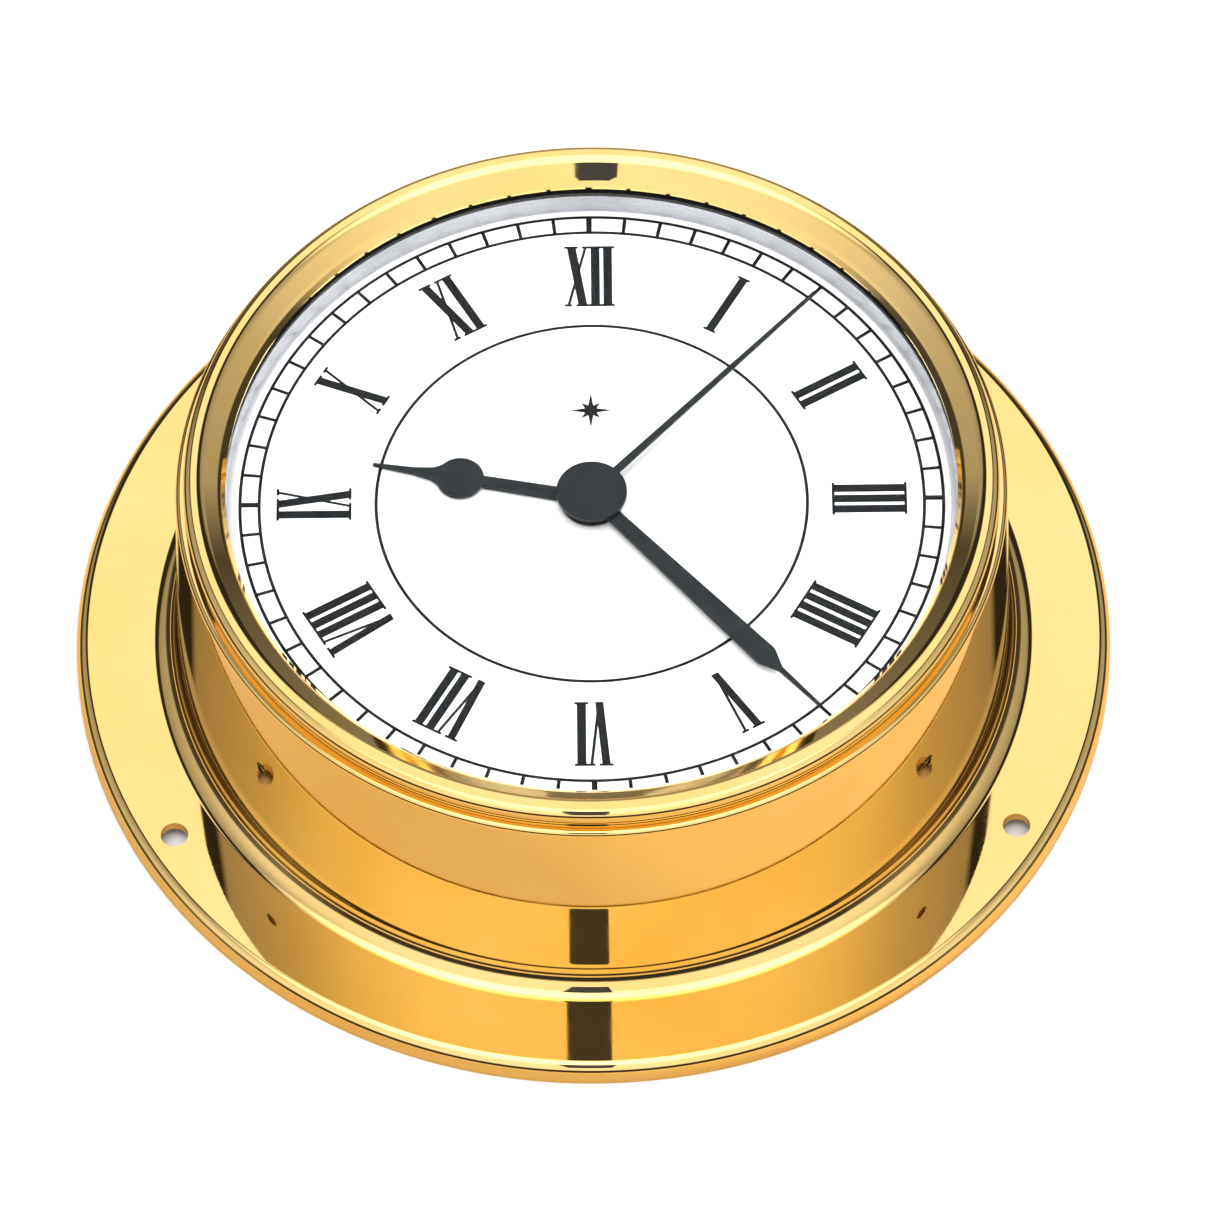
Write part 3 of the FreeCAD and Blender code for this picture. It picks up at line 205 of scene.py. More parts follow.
class DeckClockStudio(PropertyGroup):
    """The camera and the lights of the stage."""

    elevation: FloatProperty(name="Elevation", description="Camera's height over the horizon",
                             default=math.radians(56.06), subtype="ANGLE")
    roll: FloatProperty(name="Roll", description="Camera's tilt about its own line of sight",
                        default=math.radians(-0.64), subtype="ANGLE")
    distance: length("Distance", "From the camera to the point it looks at", 1000.0, high=10.0)
    lens: FloatProperty(name="Lens", description="Focal length in millimetres on a 36 mm sensor",
                        default=284.23, min=20.0, max=600.0)
    target: FloatVectorProperty(name="Target", description="Point that the camera looks at",
                                default=(1.47 * MM, -9.10 * MM, 20.0 * MM), size=3, subtype="TRANSLATION")
    key_power: FloatProperty(name="Key light", description="Power of the soft key light", default=5.5,
                             unit="POWER")
    fill_power: FloatProperty(name="Fill light", description="Power of the overhead fill light", default=4.5,
                              unit="POWER")
    card_width: length("Camera card width", "Width of the dark card round the camera", 115.0)
    card_shift: FloatProperty(name="Card shift", description="How far the card hangs right of the lens",
                              default=-0.024, unit="LENGTH")
    card_height: length("Camera card height", "Height of the dark card round the camera", 500.0)
    sky: FloatProperty(name="Tent", description="Brightness of the light tent overhead", default=2.6, min=0.0)
    floor: colour("Floor", "Pale floor", (0.93, 0.93, 0.93))
    # painted shade: the floor as the brass mirrors it, painted darker and warmer than the floor to stand for
    # its shade and the brass-coloured light thrown on it
    mat: colour("Floor near the clock", "Floor as the brass mirrors it", (0.66, 0.50, 0.30))
    shade_mirror_radius: length("Mat radius", "How far the brass mirrors the floor", 200.0)


def sizes():
    return bpy.context.scene.deck_clock_sizes


def colours():
    return bpy.context.scene.deck_clock_colours


def studio():
    return bpy.context.scene.deck_clock_studio


# ---------------- turned profiles and flat prints

def rounded_profile(corners, step):
    """Closed profile as edges (start, end, normal at start, normal at end) in (radius, height) places.
    Corners are (radius, height, rounding), in the order that keeps the metal on the left."""
    points = [np.array(corner[:2]) for corner in corners]
    count = len(points)
    cut = []
    for i, corner in enumerate(corners):
        before = points[i - 1] - points[i]
        after = points[(i + 1) % count] - points[i]
        before = before / np.linalg.norm(before)
        after = after / np.linalg.norm(after)
        half = math.acos(float(np.clip(before @ after, -1, 1))) / 2
        back = corner[2] / math.tan(half)
        middle = points[i] + (before + after) / np.linalg.norm(before + after) * (corner[2] / math.sin(half))
        cut.append((points[i] + before * back, points[i] + after * back, middle, math.pi - 2 * half))
    edges = []
    for i in range(count):
        start, end, middle, turn = cut[i]
        along = points[(i + 1) % count] - points[i]
        normal = np.array((along[1], -along[0])) / np.linalg.norm(along)
        if corners[i][2] > 0:
            before = points[i] - points[i - 1]
            normal_before = np.array((before[1], -before[0])) / np.linalg.norm(before)
            steps = max(2, round(turn / step))
            side = 1.0 if (start - middle) @ normal_before > 0 else -1.0
            first = math.atan2(*(start - middle)[::-1])
            sweep = math.atan2(*(end - middle)[::-1]) - first
            sweep = (sweep + math.pi) % (2 * math.pi) - math.pi
            ring = [np.array((math.cos(first + sweep * k / steps), math.sin(first + sweep * k / steps)))
                    for k in range(steps + 1)]
            places = [middle + spoke * corners[i][2] for spoke in ring]
            edges += [(places[k], places[k + 1], ring[k] * side, ring[k + 1] * side) for k in range(steps)]
        edges.append((end, cut[(i + 1) % count][0], normal, normal))
    return edges


def in_scene(name, data):
    """A new object of this data in the scene."""
    piece = bpy.data.objects.new(name, data)
    bpy.context.scene.collection.objects.link(piece)
    return piece


def add_mesh(name, vertices, faces):
    """A new object of this mesh in the scene, with flat shading."""
    mesh = bpy.data.meshes.new(name)
    mesh.from_pydata(vertices, [], faces)
    mesh.update()
    return in_scene(name, mesh)


def turn_on_lathe(name, edges, steps):
    """Turns a closed profile about Z."""
    angles = [2 * math.pi * i / steps for i in range(steps)]
    vertices = [(edge[0][0] * math.cos(a), edge[0][0] * math.sin(a), edge[0][1])
                for a in angles for edge in edges]
    count = len(edges)
    faces = []
    for i in range(steps):
        here, there = i * count, (i + 1) % steps * count
        for k in range(count):
            n = (k + 1) % count
            faces.append((here + k, there + k, there + n, here + n))
    return add_mesh(name, vertices, faces)


def true_normals(piece, edges):
    """Gives a turned piece the exact normals of its profile; cut faces keep their own."""
    mesh = piece.data
    loops = len(mesh.loops)
    corner = np.empty(loops, int)
    mesh.loops.foreach_get("vertex_index", corner)
    place = np.empty(len(mesh.vertices) * 3)
    mesh.vertices.foreach_get("co", place)
    place = place.reshape(-1, 3)[corner]
    totals = np.empty(len(mesh.polygons), int)
    mesh.polygons.foreach_get("loop_total", totals)
    flat = np.empty(len(mesh.polygons) * 3)
    mesh.polygons.foreach_get("normal", flat)
    flat = np.repeat(flat.reshape(-1, 3), totals, axis=0)
    radius = np.hypot(place[:, 0], place[:, 1])
    spoke = place[:, :2] / radius[:, None]
    point = np.stack((radius, place[:, 2]), axis=1)
    across = np.stack(((flat[:, :2] * spoke).sum(1), flat[:, 2]), axis=1)
    best = np.full(loops, SHARP_EDGE)
    found = flat.copy()
    for start, end, first, last in edges:
        along = end - start
        share = np.clip((point - start) @ along / max(along @ along, 1e-18), 0, 1)[:, None]
        gap = np.linalg.norm(point - start - share * along, axis=1)
        normal = first * (1 - share) + last * share
        normal = normal / np.linalg.norm(normal, axis=1)[:, None]
        match = (normal * across).sum(1)
        better = (gap < NEAR_PROFILE) & (match > best)
        best[better] = match[better]
        solid = np.concatenate((normal[:, :1] * spoke, normal[:, 1:]), axis=1)
        found[better] = solid[better]
    mesh.polygons.foreach_set("use_smooth", [True] * len(mesh.polygons))
    mesh.normals_split_custom_set(found.tolist())


def drill(piece, holes):
    """Cuts round holes: each is (start, direction, diameter, depth)."""
    for start, direction, diameter, depth in holes:
        build = bmesh.new()
        turn = Vector(direction).to_track_quat("Z", "Y").to_matrix().to_4x4()
        place = Matrix.Translation(Vector(start) + Vector(direction) * depth / 2) @ turn
        bmesh.ops.create_cone(build, cap_ends=True, segments=DRILL_FACETS, radius1=diameter / 2,
                              radius2=diameter / 2, depth=depth, matrix=place)
        mesh = bpy.data.meshes.new("drill")
        build.to_mesh(mesh)
        build.free()
        bit = in_scene("drill", mesh)
        cut = piece.modifiers.new("hole", "BOOLEAN")
        cut.operation = "DIFFERENCE"
        cut.solver = "EXACT"
        cut.object = bit
        bpy.context.view_layer.update()
        drilled = bpy.data.meshes.new_from_object(piece.evaluated_get(bpy.context.evaluated_depsgraph_get()))
        piece.modifiers.clear()
        piece.data = drilled
        bpy.data.objects.remove(bit)


def print_shape(name, outlines, low, thickness):
    """One raised print from flat outlines that may overlap."""
    points, faces = [], []
    for outline in outlines:
        faces.append(list(range(len(points), len(points) + len(outline))))
        points += [Vector(place) / MM for place in outline]
    flat, _, triangles, _, _, origins = delaunay_2d_cdt(points, [], faces, 0, MERGE)
    build = bmesh.new()
    corners = [build.verts.new((place.x * MM, place.y * MM, low)) for place in flat]
    sheet = [build.faces.new([corners[i] for i in triangle])
             for triangle, inside in zip(triangles, origins) if inside]
    bmesh.ops.recalc_face_normals(build, faces=sheet)
    if sheet and sheet[0].normal.z > 0:
        bmesh.ops.reverse_faces(build, faces=sheet)
    bmesh.ops.dissolve_limit(build, angle_limit=math.radians(1), verts=build.verts, edges=build.edges)
    raised = bmesh.ops.extrude_face_region(build, geom=list(build.faces))["geom"]
    tops = [part for part in raised if isinstance(part, bmesh.types.BMVert)]
    bmesh.ops.translate(build, vec=(0, 0, thickness), verts=tops)
    bmesh.ops.delete(build, geom=[corner for corner in build.verts if not corner.link_faces], context="VERTS")
    bmesh.ops.recalc_face_normals(build, faces=build.faces)
    mesh = bpy.data.meshes.new(name)
    build.to_mesh(mesh)
    build.free()
    return in_scene(name, mesh)


def bearing(degrees, radius=1.0):
    """Place on a circle, clockwise from twelve o'clock."""
    angle = math.radians(degrees)
    return radius * math.sin(angle), radius * math.cos(angle)


# ---------------- finishes

def new_node(tree, kind, sockets=None, **settings):
    """A node with its settings and the constants on its own sockets."""
    made = tree.nodes.new(kind)
    for key, value in settings.items():
        setattr(made, key, value)
    for socket, value in (sockets or {}).items():
        made.inputs[socket].default_value = value
    return made


class Finish:
    """Node material under a principled shader, with the object's own coordinates to hand."""

    def __init__(self, name, metallic=0.0, roughness=0.5):
        self.material = bpy.data.materials.new(name)
        self.material.use_nodes = True
        self.tree = self.material.node_tree
        self.shader = self.tree.nodes["Principled BSDF"]
        self.output = self.tree.nodes["Material Output"]
        self.shader.inputs["Metallic"].default_value = metallic
        self.shader.inputs["Roughness"].default_value = roughness
        self.place = self.node("ShaderNodeTexCoord").outputs["Object"]

    def node(self, kind, sockets=None, **settings):
        return new_node(self.tree, kind, sockets, **settings)

    def join(self, source, target):
        self.tree.links.new(source, target)

    def noise(self, scale, detail=4.0, place=None):
        made = self.node("ShaderNodeTexNoise", {"Scale": scale, "Detail": detail})
        self.join(place or self.place, made.inputs["Vector"])
        return made.outputs["Fac"]

    def stretched(self, x, y, z):
        """The object's coordinates, scaled unequally for drawn or brushed marks."""
        made = self.node("ShaderNodeMapping", {"Scale": (x, y, z)})
        self.join(self.place, made.inputs["Vector"])
        return made.outputs["Vector"]

    def turned(self):
        """Coordinates (radius, height, 0) of a part turned about Z: marks drawn with them run round it."""
        apart = self.node("ShaderNodeSeparateXYZ")
        self.join(self.place, apart.inputs[0])
        flat = self.node("ShaderNodeCombineXYZ")
        self.join(apart.outputs["X"], flat.inputs["X"])
        self.join(apart.outputs["Y"], flat.inputs["Y"])
        radius = self.node("ShaderNodeVectorMath", operation="LENGTH")
        self.join(flat.outputs[0], radius.inputs[0])
        both = self.node("ShaderNodeCombineXYZ")
        self.join(radius.outputs["Value"], both.inputs["X"])
        self.join(apart.outputs["Z"], both.inputs["Y"])
        return both.outputs[0]

    def spread(self, fac, low, high, start=0.3, end=0.7):
        made = self.node("ShaderNodeMapRange",
                         {"From Min": start, "From Max": end, "To Min": low, "To Max": high})
        self.join(fac, made.inputs["Value"])
        return made.outputs["Result"]

    def tint(self, fac, first, second):
        made = self.node("ShaderNodeMix", {"A": (*first, 1.0), "B": (*second, 1.0)}, data_type="RGBA")
        self.join(fac, made.inputs["Factor"])
        return made.outputs["Result"]

    def sum_of(self, first, second):
        made = self.node("ShaderNodeMath", operation="ADD")
        self.join(first, made.inputs[0])
        self.join(second, made.inputs[1])
        return made.outputs[0]

    def colour_from(self, fac, first, second):
        """Colours between two shades; the second may be a share that tones the first."""
        if isinstance(second, float):
            second = toned(first, second)
        self.join(self.tint(fac, first, second), self.shader.inputs["Base Color"])

    def rough_from(self, fac, *limits):
        """Roughness from a value, spread between limits if they are given."""
        self.join(self.spread(fac, *limits) if limits else fac, self.shader.inputs["Roughness"])

    def bump_from(self, height, strength, distance):
        made = self.node("ShaderNodeBump", {"Strength": strength, "Distance": distance})
        self.join(height, made.inputs["Height"])
        self.join(made.outputs["Normal"], self.shader.inputs["Normal"])


def toned(shade, share):
    """The shade made darker, or lighter where share is over 1."""
    return tuple(part * share for part in shade)


def polished_brass():
    """Mirror polish over fine turning marks, with faint handling smears in the lacquer."""
    coat = Finish("polished_brass", metallic=1.0)
    smear = coat.noise(45.0, 5.0)
    coat.colour_from(coat.spread(smear, 0.0, 1.0), colours().brass, colours().brass_deep)
    marks = coat.noise(5200.0, 2.0, coat.turned())
    patches = coat.spread(coat.noise(160.0, 3.0), 0.012, 0.05, 0.45, 0.75)
    coat.rough_from(coat.sum_of(patches, coat.spread(marks, 0.0, 0.022)))
    coat.bump_from(marks, 0.006, 0.02 * MM)
    return coat.material


def coated_glass():
    """Clear pane with an anti-reflection coating and a thin bloom; lamps shine through it on to the dial."""
    coat = Finish("clear_glass", roughness=0.0)
    coat.shader.inputs["Base Color"].default_value = (0.99, 0.995, 0.99, 1.0)
    coat.shader.inputs["Transmission Weight"].default_value = 1.0
    coat.shader.inputs["IOR"].default_value = 1.07
    coat.rough_from(coat.noise(70.0, 5.0), 0.0, 0.012, 0.5, 0.8)
    clear = coat.node("ShaderNodeBsdfTransparent")
    path = coat.node("ShaderNodeLightPath")
    both = coat.node("ShaderNodeMixShader")
    coat.join(path.outputs["Is Shadow Ray"], both.inputs["Fac"])
    coat.join(coat.shader.outputs[0], both.inputs[1])
    coat.join(clear.outputs[0], both.inputs[2])
    coat.join(both.outputs[0], coat.output.inputs["Surface"])
    return coat.material


def black_rubber():
    coat = Finish("black_rubber")
    grain = coat.noise(2600.0, 3.0)
    coat.colour_from(grain, colours().rubber, 2.2)
    coat.rough_from(grain, 0.55, 0.8)
    coat.bump_from(grain, 0.25, 0.03 * MM)
    return coat.material


def silver_ring():
    """Satin ring, brushed round its axis."""
    coat = Finish("silver_ring", metallic=0.85)
    marks = coat.noise(9000.0, 3.0, coat.turned())
    coat.colour_from(marks, colours().silver, 0.86)
    coat.rough_from(marks, 0.22, 0.42)
    coat.bump_from(marks, 0.08, 0.02 * MM)
    return coat.material


def dial_enamel():
    """White enamel with a very fine orange peel."""
    coat = Finish("dial_white")
    cloud = coat.noise(120.0, 4.0)
    coat.colour_from(cloud, colours().dial, 0.975)
    peel = coat.noise(1500.0, 2.0)
    coat.rough_from(peel, 0.36, 0.46)
    coat.bump_from(peel, 0.05, 0.02 * MM)
    return coat.material


def printed_ink():
    """Pad-printed ink, a little uneven where it thins."""
    coat = Finish("printed_ink")
    grain = coat.noise(3800.0, 3.0)
    coat.shader.inputs["Specular IOR Level"].default_value = 0.1
    coat.colour_from(coat.spread(grain, 0.0, 1.0, 0.5, 0.9), colours().ink, 2.4)
    coat.rough_from(grain, 0.38, 0.6)
    coat.bump_from(grain, 0.1, 0.01 * MM)
    return coat.material


def hand_lacquer():
    """Black lacquer on stamped hands."""
    coat = Finish("hand_black")
    grain = coat.noise(900.0, 4.0)
    coat.shader.inputs["Specular IOR Level"].default_value = 0.15
    coat.colour_from(grain, colours().hand, 1.9)
    coat.rough_from(grain, 0.28, 0.42)
    coat.bump_from(coat.noise(4200.0, 2.0), 0.06, 0.02 * MM)
    return coat.material


def zinc_pan():
    """Zinc plate with its cloudy spangle and drawn marks."""
    coat = Finish("pan_steel", metallic=1.0)
    cells = coat.node("ShaderNodeTexVoronoi", {"Scale": 330.0})
    coat.join(coat.place, cells.inputs["Vector"])
    spangle = cells.outputs["Distance"]
    coat.colour_from(coat.spread(spangle, 0.0, 1.0, 0.0, 0.8), colours().zinc, 0.74)
    drawn = coat.noise(4000.0, 3.0, coat.turned())
    coat.rough_from(coat.sum_of(coat.spread(spangle, 0.24, 0.36, 0.0, 0.8), coat.spread(drawn, 0.0, 0.1)))
    coat.bump_from(drawn, 0.08, 0.03 * MM)
    return coat.material


def plated(name, shade, rough):
    """Plated or blackened metal with turning marks."""
    coat = Finish(name, metallic=1.0)
    wear = coat.noise(700.0, 5.0)
    coat.colour_from(coat.spread(wear, 0.0, 1.0), shade, 0.72)
    coat.rough_from(coat.noise(2400.0, 3.0), *rough)
    coat.bump_from(coat.noise(6500.0, 2.0, coat.stretched(1.0, 0.15, 1.0)), 0.1, 0.02 * MM)
    return coat.material


def moulded(name, shade, grain_scale, rough, bump):
    """Moulded plastic with a spark-eroded grain and a faint flow pattern."""
    coat = Finish(name)
    flow = coat.noise(90.0, 4.0)
    grain = coat.noise(grain_scale, 3.0)
    coat.colour_from(coat.spread(flow, 0.0, 1.0), shade, 0.8)
    coat.rough_from(grain, *rough)
    coat.bump_from(grain, bump, 0.04 * MM)
    return coat.material


def cell_jacket():
    """Dry cell: a plain printed jacket with a pale band at its button end and bare steel ends."""
    coat = Finish("cell_jacket")
    low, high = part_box("battery_cell")
    apart = coat.node("ShaderNodeSeparateXYZ")
    coat.join(coat.place, apart.inputs[0])
    grain = coat.noise(1800.0, 3.0)
    band = coat.node("ShaderNodeMath", {1: high.x - CELL_BAND}, operation="GREATER_THAN")
    coat.join(apart.outputs["X"], band.inputs[0])
    body = coat.tint(band.outputs[0], colours().jacket, colours().jacket_band)
    middle = coat.node("ShaderNodeMath", {1: (low.x + high.x) / 2}, operation="SUBTRACT")
    coat.join(apart.outputs["X"], middle.inputs[0])
    reach = coat.node("ShaderNodeMath", operation="ABSOLUTE")
    coat.join(middle.outputs[0], reach.inputs[0])
    bare = coat.node("ShaderNodeMath", {1: (high.x - low.x) / 2 - CELL_END}, operation="GREATER_THAN")
    coat.join(reach.outputs[0], bare.inputs[0])
    skin = coat.node("ShaderNodeMix", {"B": (*CELL_STEEL, 1.0)}, data_type="RGBA")
    coat.join(bare.outputs[0], skin.inputs["Factor"])
    coat.join(body, skin.inputs["A"])
    coat.join(skin.outputs["Result"], coat.shader.inputs["Base Color"])
    coat.join(bare.outputs[0], coat.shader.inputs["Metallic"])
    coat.rough_from(grain, 0.2, 0.3)
    coat.bump_from(coat.noise(260.0, 3.0), 0.06, 0.05 * MM)
    return coat.material


def board_green():
    """Solder mask over copper tracks."""
    coat = Finish("board_green")
    tracks = coat.node("ShaderNodeTexBrick", {
        "Scale": 190.0, "Mortar Size": 0.05, "Color1": (*colours().board, 1.0),
        "Color2": (*toned(colours().board, 0.85), 1.0), "Mortar": (*toned(colours().board, 2.2), 1.0)})
    coat.join(coat.place, tracks.inputs["Vector"])
    coat.join(tracks.outputs["Color"], coat.shader.inputs["Base Color"])
    coat.rough_from(coat.noise(1500.0, 3.0), 0.22, 0.34)
    coat.bump_from(tracks.outputs["Fac"], 0.3, 0.03 * MM)
    return coat.material


def copper_wire():
    """Winding of fine enamelled wire; its turns run round the coil's long axis, with painted shade in the
    grooves between them.
    """
    coat = Finish("copper_wire", metallic=1.0)
    turns = coat.node("ShaderNodeTexWave", {"Scale": 2200.0, "Distortion": 0.6}, wave_type="BANDS",
                      bands_direction="Y")
    coat.join(coat.place, turns.inputs["Vector"])
    # painted shade: the copper is darker in the low grooves between the turns, where the bump is lowest
    coat.colour_from(turns.outputs["Fac"], toned(colours().copper, 0.6), colours().copper)
    coat.rough_from(coat.noise(900.0, 3.0), 0.22, 0.36)
    coat.bump_from(turns.outputs["Fac"], 0.5, 0.08 * MM)
    return coat.material


FINISHES = {
    "polished_brass": polished_brass, "clear_glass": coated_glass, "black_rubber": black_rubber,
    "silver_ring": silver_ring, "dial_white": dial_enamel, "pan_steel": zinc_pan,
    "cell_jacket": cell_jacket, "board_green": board_green, "copper_wire": copper_wire,
    "hand_black": hand_lacquer, "printed_ink": printed_ink,
}
# shade, or the name of its colour property, and roughness from smooth to rough
PLATED = {
    "steel": ("steel", (0.2, 0.36)),
    "screw_black": ((0.05, 0.048, 0.045), (0.3, 0.45)),
    "contact_metal": ((0.74, 0.71, 0.64), (0.16, 0.3)),
    "motor_iron": ((0.34, 0.34, 0.36), (0.34, 0.5)),
    "magnet": ((0.22, 0.22, 0.23), (0.4, 0.55)),
}
# shade as above, fineness of the grain, roughness and depth of the grain
MOULDED = {
    "black_plastic": ("moulding", 2300.0, (0.42, 0.58), 0.3),
    "knob_plastic": ("knob", 1600.0, (0.34, 0.5), 0.2),
    "wheel_plastic": ("wheel", 3200.0, (0.3, 0.42), 0.1),
    "chip_resin": ((0.01, 0.01, 0.011), 1200.0, (0.12, 0.3), 0.15),
}
MADE = {}


def finish_named(name):
    """The finish of this name, made once."""
    if name not in MADE:
        if name in FINISHES:
            MADE[name] = FINISHES[name]()
        else:
            make, (shade, *rest) = (plated, PLATED[name]) if name in PLATED else (moulded, MOULDED[name])
            MADE[name] = make(name, getattr(colours(), shade) if isinstance(shade, str) else shade, *rest)
    return MADE[name]


def paint_nodes(*names):
    """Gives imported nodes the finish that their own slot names."""
    for name in names:
        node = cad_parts[name]
        for i, slot in enumerate(node.material_slots):
            node.material_slots[i].material = finish_named(slot.material.name.split(".")[0])


def dress(piece, body, slot, finish=None):
    """Paints a new piece and hangs it on its body."""
    piece.data.materials.clear()
    piece.data.materials.append(finish_named(finish or slot))
    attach(piece, body)


# ---------------- pieces

class CLOCK_OT_case(Operator):
    """Turn the brass case and its flange, and drill them"""

    bl_idname = "clock.case"
    bl_label = "Mounting Case"

    def execute(self, context):
        size = sizes()
        inner_face = size.flange_height - size.flange_sheet
        edges = rounded_profile([
            (size.bore_radius, CASE_TOP, 0.0),
            (size.bore_radius, inner_face, size.bore_round),
            (CASE_RADIUS - size.flange_sheet, inner_face, size.hollow_round),
            (CASE_RADIUS - size.flange_sheet, 0.0, 0.0),
            (CASE_RADIUS, 0.0, 0.0),
            (CASE_RADIUS, size.flange_height, size.flange_round),
            (size.foot_radius, size.flange_height, size.foot_fillet),
            (size.neck_radius, CASE_TOP, size.neck_round),
        ], size.arc_step)
        case = turn_on_lathe("case_shell", edges, size.lathe_steps)
        holes = []
        for turn in FLANGE_HOLE_BEARINGS:
            x, y = bearing(turn, size.hole_circle)
            holes.append(((x, y, -size.flange_height), (0, 0, 1), size.flange_hole, 3 * size.flange_height))
        for turn in GRUB_HOLE_BEARINGS:
            x, y = bearing(turn)
            start = (x * (size.bore_radius - MM), y * (size.bore_radius - MM), size.grub_height)
            holes.append((start, (x, y, 0), size.grub_hole, WALL_CUT))
        drill(case, holes)
        true_normals(case, edges)
        dress(case, "root", "polished_brass")
        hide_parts("mounting_case")
        paint_nodes("case_grub_screws")
        return {"FINISHED"}


class CLOCK_OT_bezel(Operator):
    """Turn the brass bezel that holds the glass"""

    bl_idname = "clock.bezel"
    bl_label = "Bezel Ring"

    def execute(self, context):
        size = sizes()
        edges = rounded_profile([
            (size.skirt_inner, GLASS_TOP, 0.0),
            (size.skirt_inner, BEZEL_FOOT, 0.0),
            (size.skirt_outer, BEZEL_FOOT, 0.0),
            (size.skirt_outer, size.skirt_top, 0.0),
            (BEZEL_RADIUS, size.skirt_top + BEZEL_RADIUS - size.skirt_outer, 0.0),
            (BEZEL_RADIUS, BEZEL_TOP - size.bead_drop, size.bead_round),
            (size.crest_outer, BEZEL_TOP, size.crest_round),
            (size.crest_inner, BEZEL_TOP, size.slope_round),
            (size.slope_foot, BEZEL_TOP - size.slope_drop, size.slope_round),
            (size.opening_radius, size.lip_top, 0.0),
            (size.opening_radius, GLASS_TOP, 0.0),
        ], size.arc_step)
        bezel = turn_on_lathe("bezel_shell", edges, size.lathe_steps)
        true_normals(bezel, edges)
        dress(bezel, "root", "polished_brass")
        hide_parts("bezel_ring")
        return {"FINISHED"}


class CLOCK_OT_glass(Operator):
    """Make the chamfered pane with its gasket"""

    bl_idname = "clock.glass"
    bl_label = "Glass"

    def execute(self, context):
        size = sizes()
        chamfer = size.pane_chamfer
        steps = size.lathe_steps
        rings = [(GLASS_RADIUS - chamfer, GLASS_BOTTOM), (GLASS_RADIUS, GLASS_BOTTOM + chamfer),
                 (GLASS_RADIUS, GLASS_TOP - chamfer), (GLASS_RADIUS - chamfer, GLASS_TOP)]
        turns = [2 * math.pi * i / steps for i in range(steps)]
        vertices = [(radius * math.cos(a), radius * math.sin(a), z) for radius, z in rings for a in turns]
        faces = [tuple(range(steps - 1, -1, -1)), tuple(range(3 * steps, 4 * steps))]
        for ring in range(3):
            for i in range(steps):
                n = (i + 1) % steps
                low, high = ring * steps, (ring + 1) * steps
                faces.append((low + i, low + n, high + n, high + i))
        pane = add_mesh("glass_pane", vertices, faces)
        dress(pane, "root", "clear_glass")
        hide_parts("glass_lens")
        paint_nodes("lens_gasket")
        return {"FINISHED"}


class CLOCK_OT_dial(Operator):
    """Finish the dial plate and the satin ring round it"""

    bl_idname = "clock.dial"
    bl_label = "Dial Plate"

    def execute(self, context):
        paint_nodes("dial_plate", "rehaut_ring")
        return {"FINISHED"}


def ink(piece):
    """Finishes a print, which lies on the dial."""
    dress(piece, "root", "dial_white", "printed_ink")


def printed_ring(name, radius):
    """A thin printed ring about the dial's centre."""
    size = sizes()
    low, high = DIAL_TOP, DIAL_TOP + size.print_lift
    inner, outer = radius - size.hairline / 2, radius + size.hairline / 2
    edges = rounded_profile([(inner, high, 0.0), (inner, low, 0.0), (outer, low, 0.0), (outer, high, 0.0)],
                            size.arc_step)
    ink(turn_on_lathe(name, edges, size.lathe_steps))


class CLOCK_OT_minute_track(Operator):
    """Print the minute track: two rings and sixty ticks"""

    bl_idname = "clock.minute_track"
    bl_label = "Minute Track"

    def execute(self, context):
        size = sizes()
        printed_ring("track_ring_inner", size.track_inner)
        printed_ring("track_ring_outer", size.track_outer)
        inner = size.track_inner + size.hairline / 2
        outer = size.track_outer - size.hairline / 2
        ticks = []
        for minute in range(MINUTES):
            width = size.quarter_tick if minute % 15 == 0 else size.tick
            along, side = Vector(bearing(minute * 6)), Vector(bearing(minute * 6 + 90))
            half = side * width / 2
            low, high = along * inner, along * outer
            ticks.append([low - half, low + half, high + half, high - half])
        ink(print_shape("minute_ticks", ticks, DIAL_TOP, size.print_lift))
        return {"FINISHED"}


def bar(start, end, width):
    """A stroke with level ends: start and end are the middles of its ends."""
    half = Vector((width / 2, 0))
    return [start - half, start + half, end + half, end - half]


def numeral_outlines(text):
    """Outlines of a Roman numeral with slab serifs, standing on the X axis and centred on the Y axis."""
    size = sizes()
    tall, heavy, light = size.numeral_height, size.stroke, size.thin_stroke
    shapes, cursor = [], 0.0
    tops, feet = [], []
    for letter in text:
        wide = heavy if letter == "I" else size.vee_width
        left, right = cursor, cursor + wide
        middle = (left + right) / 2
        if letter == "I":
            shapes.append(bar(Vector((middle, 0)), Vector((middle, tall)), heavy))
            tops.append((left, right))
            feet.append((left, right))
        elif letter == "V":
            foot = Vector((middle + size.vee_foot, 0))
            shapes.append(bar(foot, Vector((left + heavy / 2, tall)), heavy * VEE_STROKE))
            shapes.append(bar(foot, Vector((right - light / 2, tall)), light))
            tops += [(left, left + heavy), (right - light, right)]
        else:
            shapes.append(bar(Vector((right - heavy / 2, 0)), Vector((left + heavy / 2, tall)), heavy))
            shapes.append(bar(Vector((left + light / 2, 0)), Vector((right - light / 2, tall)), light))
            tops += [(left, left + heavy), (right - light, right)]
            feet += [(left, left + light), (right - heavy, right)]
        cursor = right + size.letter_gap
    for spans, low in ((tops, tall - size.serif_height), (feet, 0.0)):
        for left, right in spans:
            shapes.append([Vector((left - size.serif, low)), Vector((right + size.serif, low)),
                           Vector((right + size.serif, low + size.serif_height)),
                           Vector((left - size.serif, low + size.serif_height))])
    middle = (cursor - size.letter_gap) / 2
    return [[point - Vector((middle, 0)) for point in shape] for shape in shapes]


